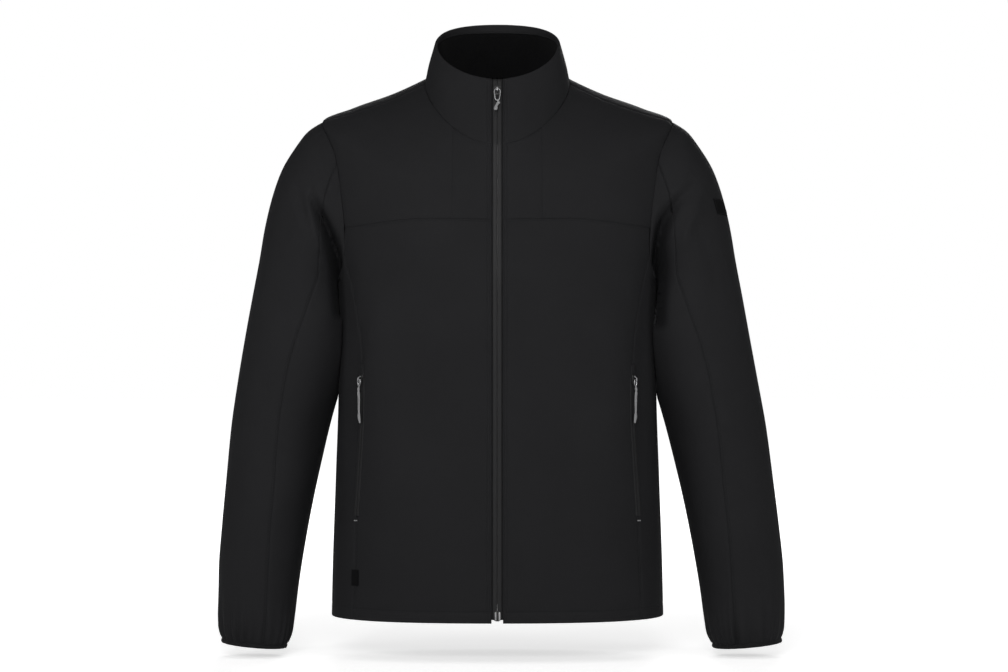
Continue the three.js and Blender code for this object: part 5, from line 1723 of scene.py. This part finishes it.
def twill_height(group, x, y, pitch):
    """A sine along x plus 0.6 y, and four tenths of one along x that is 1.9 times as close."""
    slanted = math_node(group, "ADD", x, math_node(group, "MULTIPLY", y, 0.6))
    warp = wave(group, math_node(group, "MULTIPLY", x, pitch), 1.9)
    return math_node(group, "ADD", wave(group, slanted, pitch), math_node(group, "MULTIPLY", warp, 0.4))


def rib_height(group, x, y, rate):
    """A sine along y."""
    return wave(group, y, rate)


weave_group = relief_group("twill weave", "Pitch", 1400.0, 0.25, 0.0002, twill_height)
rib_group = relief_group("ribs", "Across", 2500.0, 0.6, 0.0005, rib_height)
print("groups:", [group.name for group in bpy.data.node_groups])

# %% Making a material


def new_material(name, plain):
    """A material with its Principled BSDF, whose plain values are set on its own sockets."""
    material = bpy.data.materials.new(name)
    material.use_nodes = True
    shader = material.node_tree.nodes["Principled BSDF"]
    for socket, value in plain.items():
        shader.inputs[socket].default_value = value
    return material, material.node_tree, shader


def place_group(tree, group, **values):
    """A copy of a group in a material, with its plain inputs set."""
    node = tree.nodes.new("ShaderNodeGroup")
    node.node_tree = group
    for key, value in values.items():
        node.inputs[key.replace("_", " ")].default_value = value
    return node


def toned_material(name, colour, plain, tone, weave=None, ribs=None):
    """A finish: its colour made a little uneven, its dullness, and the relief of its weave or its ribs."""
    material, tree, shader = new_material(name, plain)
    toned = place_group(tree, tone_group, Colour=(*colour, 1), **tone)
    tree.links.new(toned.outputs["Colour"], shader.inputs["Base Color"])
    group, values = (weave_group, weave) if weave else (rib_group, ribs)
    if values:
        relief = place_group(tree, group, **values)
        tree.links.new(relief.outputs["Normal"], shader.inputs["Normal"])
    return material


print("groups with relief:", weave_group.name, "and", rib_group.name)

# %% Finishes of the cloths
softshell = toned_material(
    "softshell", (0.0147, 0.0147, 0.0158),
    {"Roughness": 0.72, "Specular IOR Level": 0.1, "Sheen Weight": 0.015, "Sheen Roughness": 0.4,
     "Sheen Tint": (0.75, 0.76, 0.8, 1)},
    {"Spread": 0.28, "Patch_Scale": 11.0}, weave={"Pitch": 5200.0, "Strength": 0.22, "Distance": 0.00015},
)
fleece = toned_material(
    "fleece lining", (0.003, 0.003, 0.0033),
    {"Roughness": 0.95, "Specular IOR Level": 0.08, "Sheen Weight": 0.02, "Sheen Roughness": 0.6},
    {"Spread": 0.7, "Patch_Scale": 40.0, "Grain_Scale": 700.0}, weave={"Pitch": 2600.0, "Strength": 0.5},
)
elastic = toned_material(
    "elastic binding", (0.0082, 0.0082, 0.009),
    {"Roughness": 0.78, "Specular IOR Level": 0.2, "Sheen Weight": 0.03},
    {"Spread": 0.2}, ribs={"Across": 5200.0, "Strength": 0.5},
)
coated_tape = toned_material(
    "coated zip tape", (0.0125, 0.0125, 0.0132),
    {"Roughness": 0.55, "Specular IOR Level": 0.22},
    {"Spread": 0.12, "Patch_Scale": 30.0}, weave={"Pitch": 4200.0, "Strength": 0.12, "Distance": 0.0001},
)
pocket_tape = toned_material(
    "pocket zip tape", (0.0115, 0.0115, 0.0122),
    {"Roughness": 0.62, "Specular IOR Level": 0.25},
    {"Spread": 0.12, "Patch_Scale": 30.0}, weave={"Pitch": 4200.0, "Strength": 0.15, "Distance": 0.0001},
)
woven_label = toned_material(
    "woven label", (0.0045, 0.0045, 0.005),
    {"Roughness": 0.7, "Specular IOR Level": 0.08},
    {"Spread": 0.2}, ribs={"Across": 9000.0, "Strength": 0.45, "Distance": 0.0002},
)
print("cloths:", len(bpy.data.materials))

# %% Finishes of the thread, metal and pullers
thread = toned_material(
    "thread", (0.0125, 0.0125, 0.0135), {"Roughness": 0.6, "Specular IOR Level": 0.2},
    {"Spread": 0.3, "Patch_Scale": 60.0},
)
coil_plastic, _, _ = new_material("coil", {"Base Color": (0.01, 0.01, 0.011, 1), "Roughness": 0.42})
satin_metal = toned_material(
    "satin metal", (0.56, 0.56, 0.57), {"Metallic": 1.0, "Roughness": 0.3},
    {"Spread": 0.25, "Patch_Scale": 400.0},
)
painted_metal = toned_material(
    "painted metal", (0.012, 0.012, 0.0125), {"Roughness": 0.42, "Specular IOR Level": 0.5},
    {"Spread": 0.2, "Patch_Scale": 300.0},
)
grey_cord = toned_material(
    "grey cord", (0.27, 0.27, 0.275), {"Roughness": 0.7, "Sheen Weight": 0.15},
    {"Spread": 0.5, "Patch_Scale": 700.0, "Grain_Scale": 2600.0},
)
moulded_grip = toned_material(
    "moulded grip", (0.25, 0.25, 0.255), {"Roughness": 0.46, "Specular IOR Level": 0.5},
    {"Spread": 0.16, "Patch_Scale": 300.0},
)
print("materials:", len(bpy.data.materials))

# %% Which piece takes which finish
FINISHES = [
    # the finish of the outer faces, that of the inner faces, and how the pieces' names begin
    (fleece, fleece, ("collar_lining",)),
    (softshell, softshell, ("collar_cloth", "pocket_garage")),
    (softshell, fleece, ("cloth_",)),
    (elastic, elastic, ("cuff_binding",)),
    (coated_tape, coated_tape, ("front_tape",)),
    (pocket_tape, pocket_tape, ("pocket_tape",)),
    (coil_plastic, coil_plastic, ("coil_teeth",)),
    (woven_label, woven_label, ("woven_label", "folded_tag")),
    (thread, thread, ("topstitching",)),
    (painted_metal, painted_metal, ("front_slider", "pocket_runner", "zip_retainer")),
    (satin_metal, satin_metal, ("front_bridge", "front_ring", "pocket_bridge", "pocket_ring", "zip_pins")),
    (grey_cord, grey_cord, ("front_cord", "pocket_cord", "pocket_bartack")),
    (moulded_grip, moulded_grip, ("front_grip", "pocket_grip")),
]
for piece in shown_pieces():
    for outer_finish, inner_finish, starts in FINISHES:
        if piece.name.startswith(starts) and not piece.hide_render:
            piece.data.materials.clear()
            piece.data.materials.append(outer_finish)
            piece.data.materials.append(inner_finish)
print("finishes:", len(FINISHES))

# %% [markdown]
# ## Floor and light
# The jacket hangs over a pale floor in a white room. One large soft light stands in front and above, a tall
# one on each side draws a long soft streak on each sleeve, one hangs overhead, and one behind shows the
# back. The room itself is only seen: the floor near the jacket takes the lights and the shadow, and further
# out it fades into plain white, so that no horizon shows from any side.

# %% Floor
FLOOR_Z = -0.742
FLOOR_REACH = 14
FADE_START, FADE_END = 0.5, 1.3  # metres from the middle
NEAR_GLOW, FAR_GLOW = 0.6, 1.0

corners = [(-1, -1), (1, -1), (1, 1), (-1, 1)]
mesh = bpy.data.meshes.new("floor")
mesh.from_pydata([(x * FLOOR_REACH, y * FLOOR_REACH, FLOOR_Z) for x, y in corners], [], [[0, 1, 2, 3]])
floor = bpy.data.objects.new("floor", mesh)
bpy.context.scene.collection.objects.link(floor)
pale, tree, shader = new_material("pale floor", {
    "Base Color": (0.92, 0.92, 0.92, 1), "Roughness": 0.9, "Specular IOR Level": 0.1,
    "Emission Color": (1, 1, 1, 1),
})
coords = add_node(tree, "ShaderNodeTexCoord")
flat = add_node(tree, "ShaderNodeVectorMath", {"operation": "MULTIPLY"}, i0=coords.outputs["Object"],
                i1=(1, 1, 0))
reach = add_node(tree, "ShaderNodeVectorMath", {"operation": "LENGTH"}, i0=flat.outputs[0])
glow = add_node(tree, "ShaderNodeMapRange", {"interpolation_type": "SMOOTHSTEP"}, i0=reach.outputs["Value"],
                i1=FADE_START, i2=FADE_END, i3=NEAR_GLOW, i4=FAR_GLOW)
seen = add_node(tree, "ShaderNodeLightPath")
glow_seen = math_node(tree, "MULTIPLY", glow.outputs[0], seen.outputs["Is Camera Ray"])
tree.links.new(glow_seen, shader.inputs["Emission Strength"])
mesh.materials.append(pale)
print("floor at", FLOOR_Z)

# %% Light


def soft_light(name, place, aim, size, power):
    """An oblong area light at a place, turned to face its aim."""
    data = bpy.data.lights.new(name, "AREA")
    data.shape = "RECTANGLE"
    data.size, data.size_y = size
    data.energy = power
    light = bpy.data.objects.new(name, data)
    light.location = place
    way = np.array(aim, float) - np.array(place, float)
    flat = math.hypot(way[0], way[1])
    light.rotation_euler = (math.pi / 2 + math.atan2(way[2], flat), 0, math.atan2(-way[0], way[1]))
    bpy.context.scene.collection.objects.link(light)


soft_light("key", (-0.3, -3.7, 0.9), (0, 0, -0.35), (1.5, 1.0), 66)
soft_light("left box", (-2.6, -1.4, 0.6), (0, 0, -0.35), (0.9, 2.4), 14)
soft_light("right box", (2.7, -1.3, 0.5), (0, 0, -0.35), (0.9, 2.4), 13)
soft_light("overhead", (0, -1.5, 2.5), (0, 0, -0.3), (3.0, 2.0), 15)
soft_light("back fill", (0.4, 3.8, 1.5), (0, 0, -0.35), (2.4, 1.4), 60)

ROOM_LIGHT = 0.08
world = bpy.data.worlds.new("white room")
world.use_nodes = True
tree = world.node_tree
background = tree.nodes["Background"]
background.inputs["Color"].default_value = (1, 1, 1, 1)
background.inputs["Strength"].default_value = ROOM_LIGHT
white = add_node(tree, "ShaderNodeBackground", Color=(1, 1, 1, 1), Strength=1.0)
seen = add_node(tree, "ShaderNodeLightPath")
room = add_node(tree, "ShaderNodeMixShader", i0=seen.outputs["Is Camera Ray"], i1=background.outputs[0],
                i2=white.outputs[0])
tree.links.new(room.outputs[0], tree.nodes["World Output"].inputs["Surface"])
bpy.context.scene.world = world
bpy.context.scene.view_settings.view_transform = "Standard"
print("lights:", len(bpy.data.lights))

# %% Finish
print("cuts:", {name: [round(float(value), 3) for value in cut] for name, cut in cut_sizes.items()})
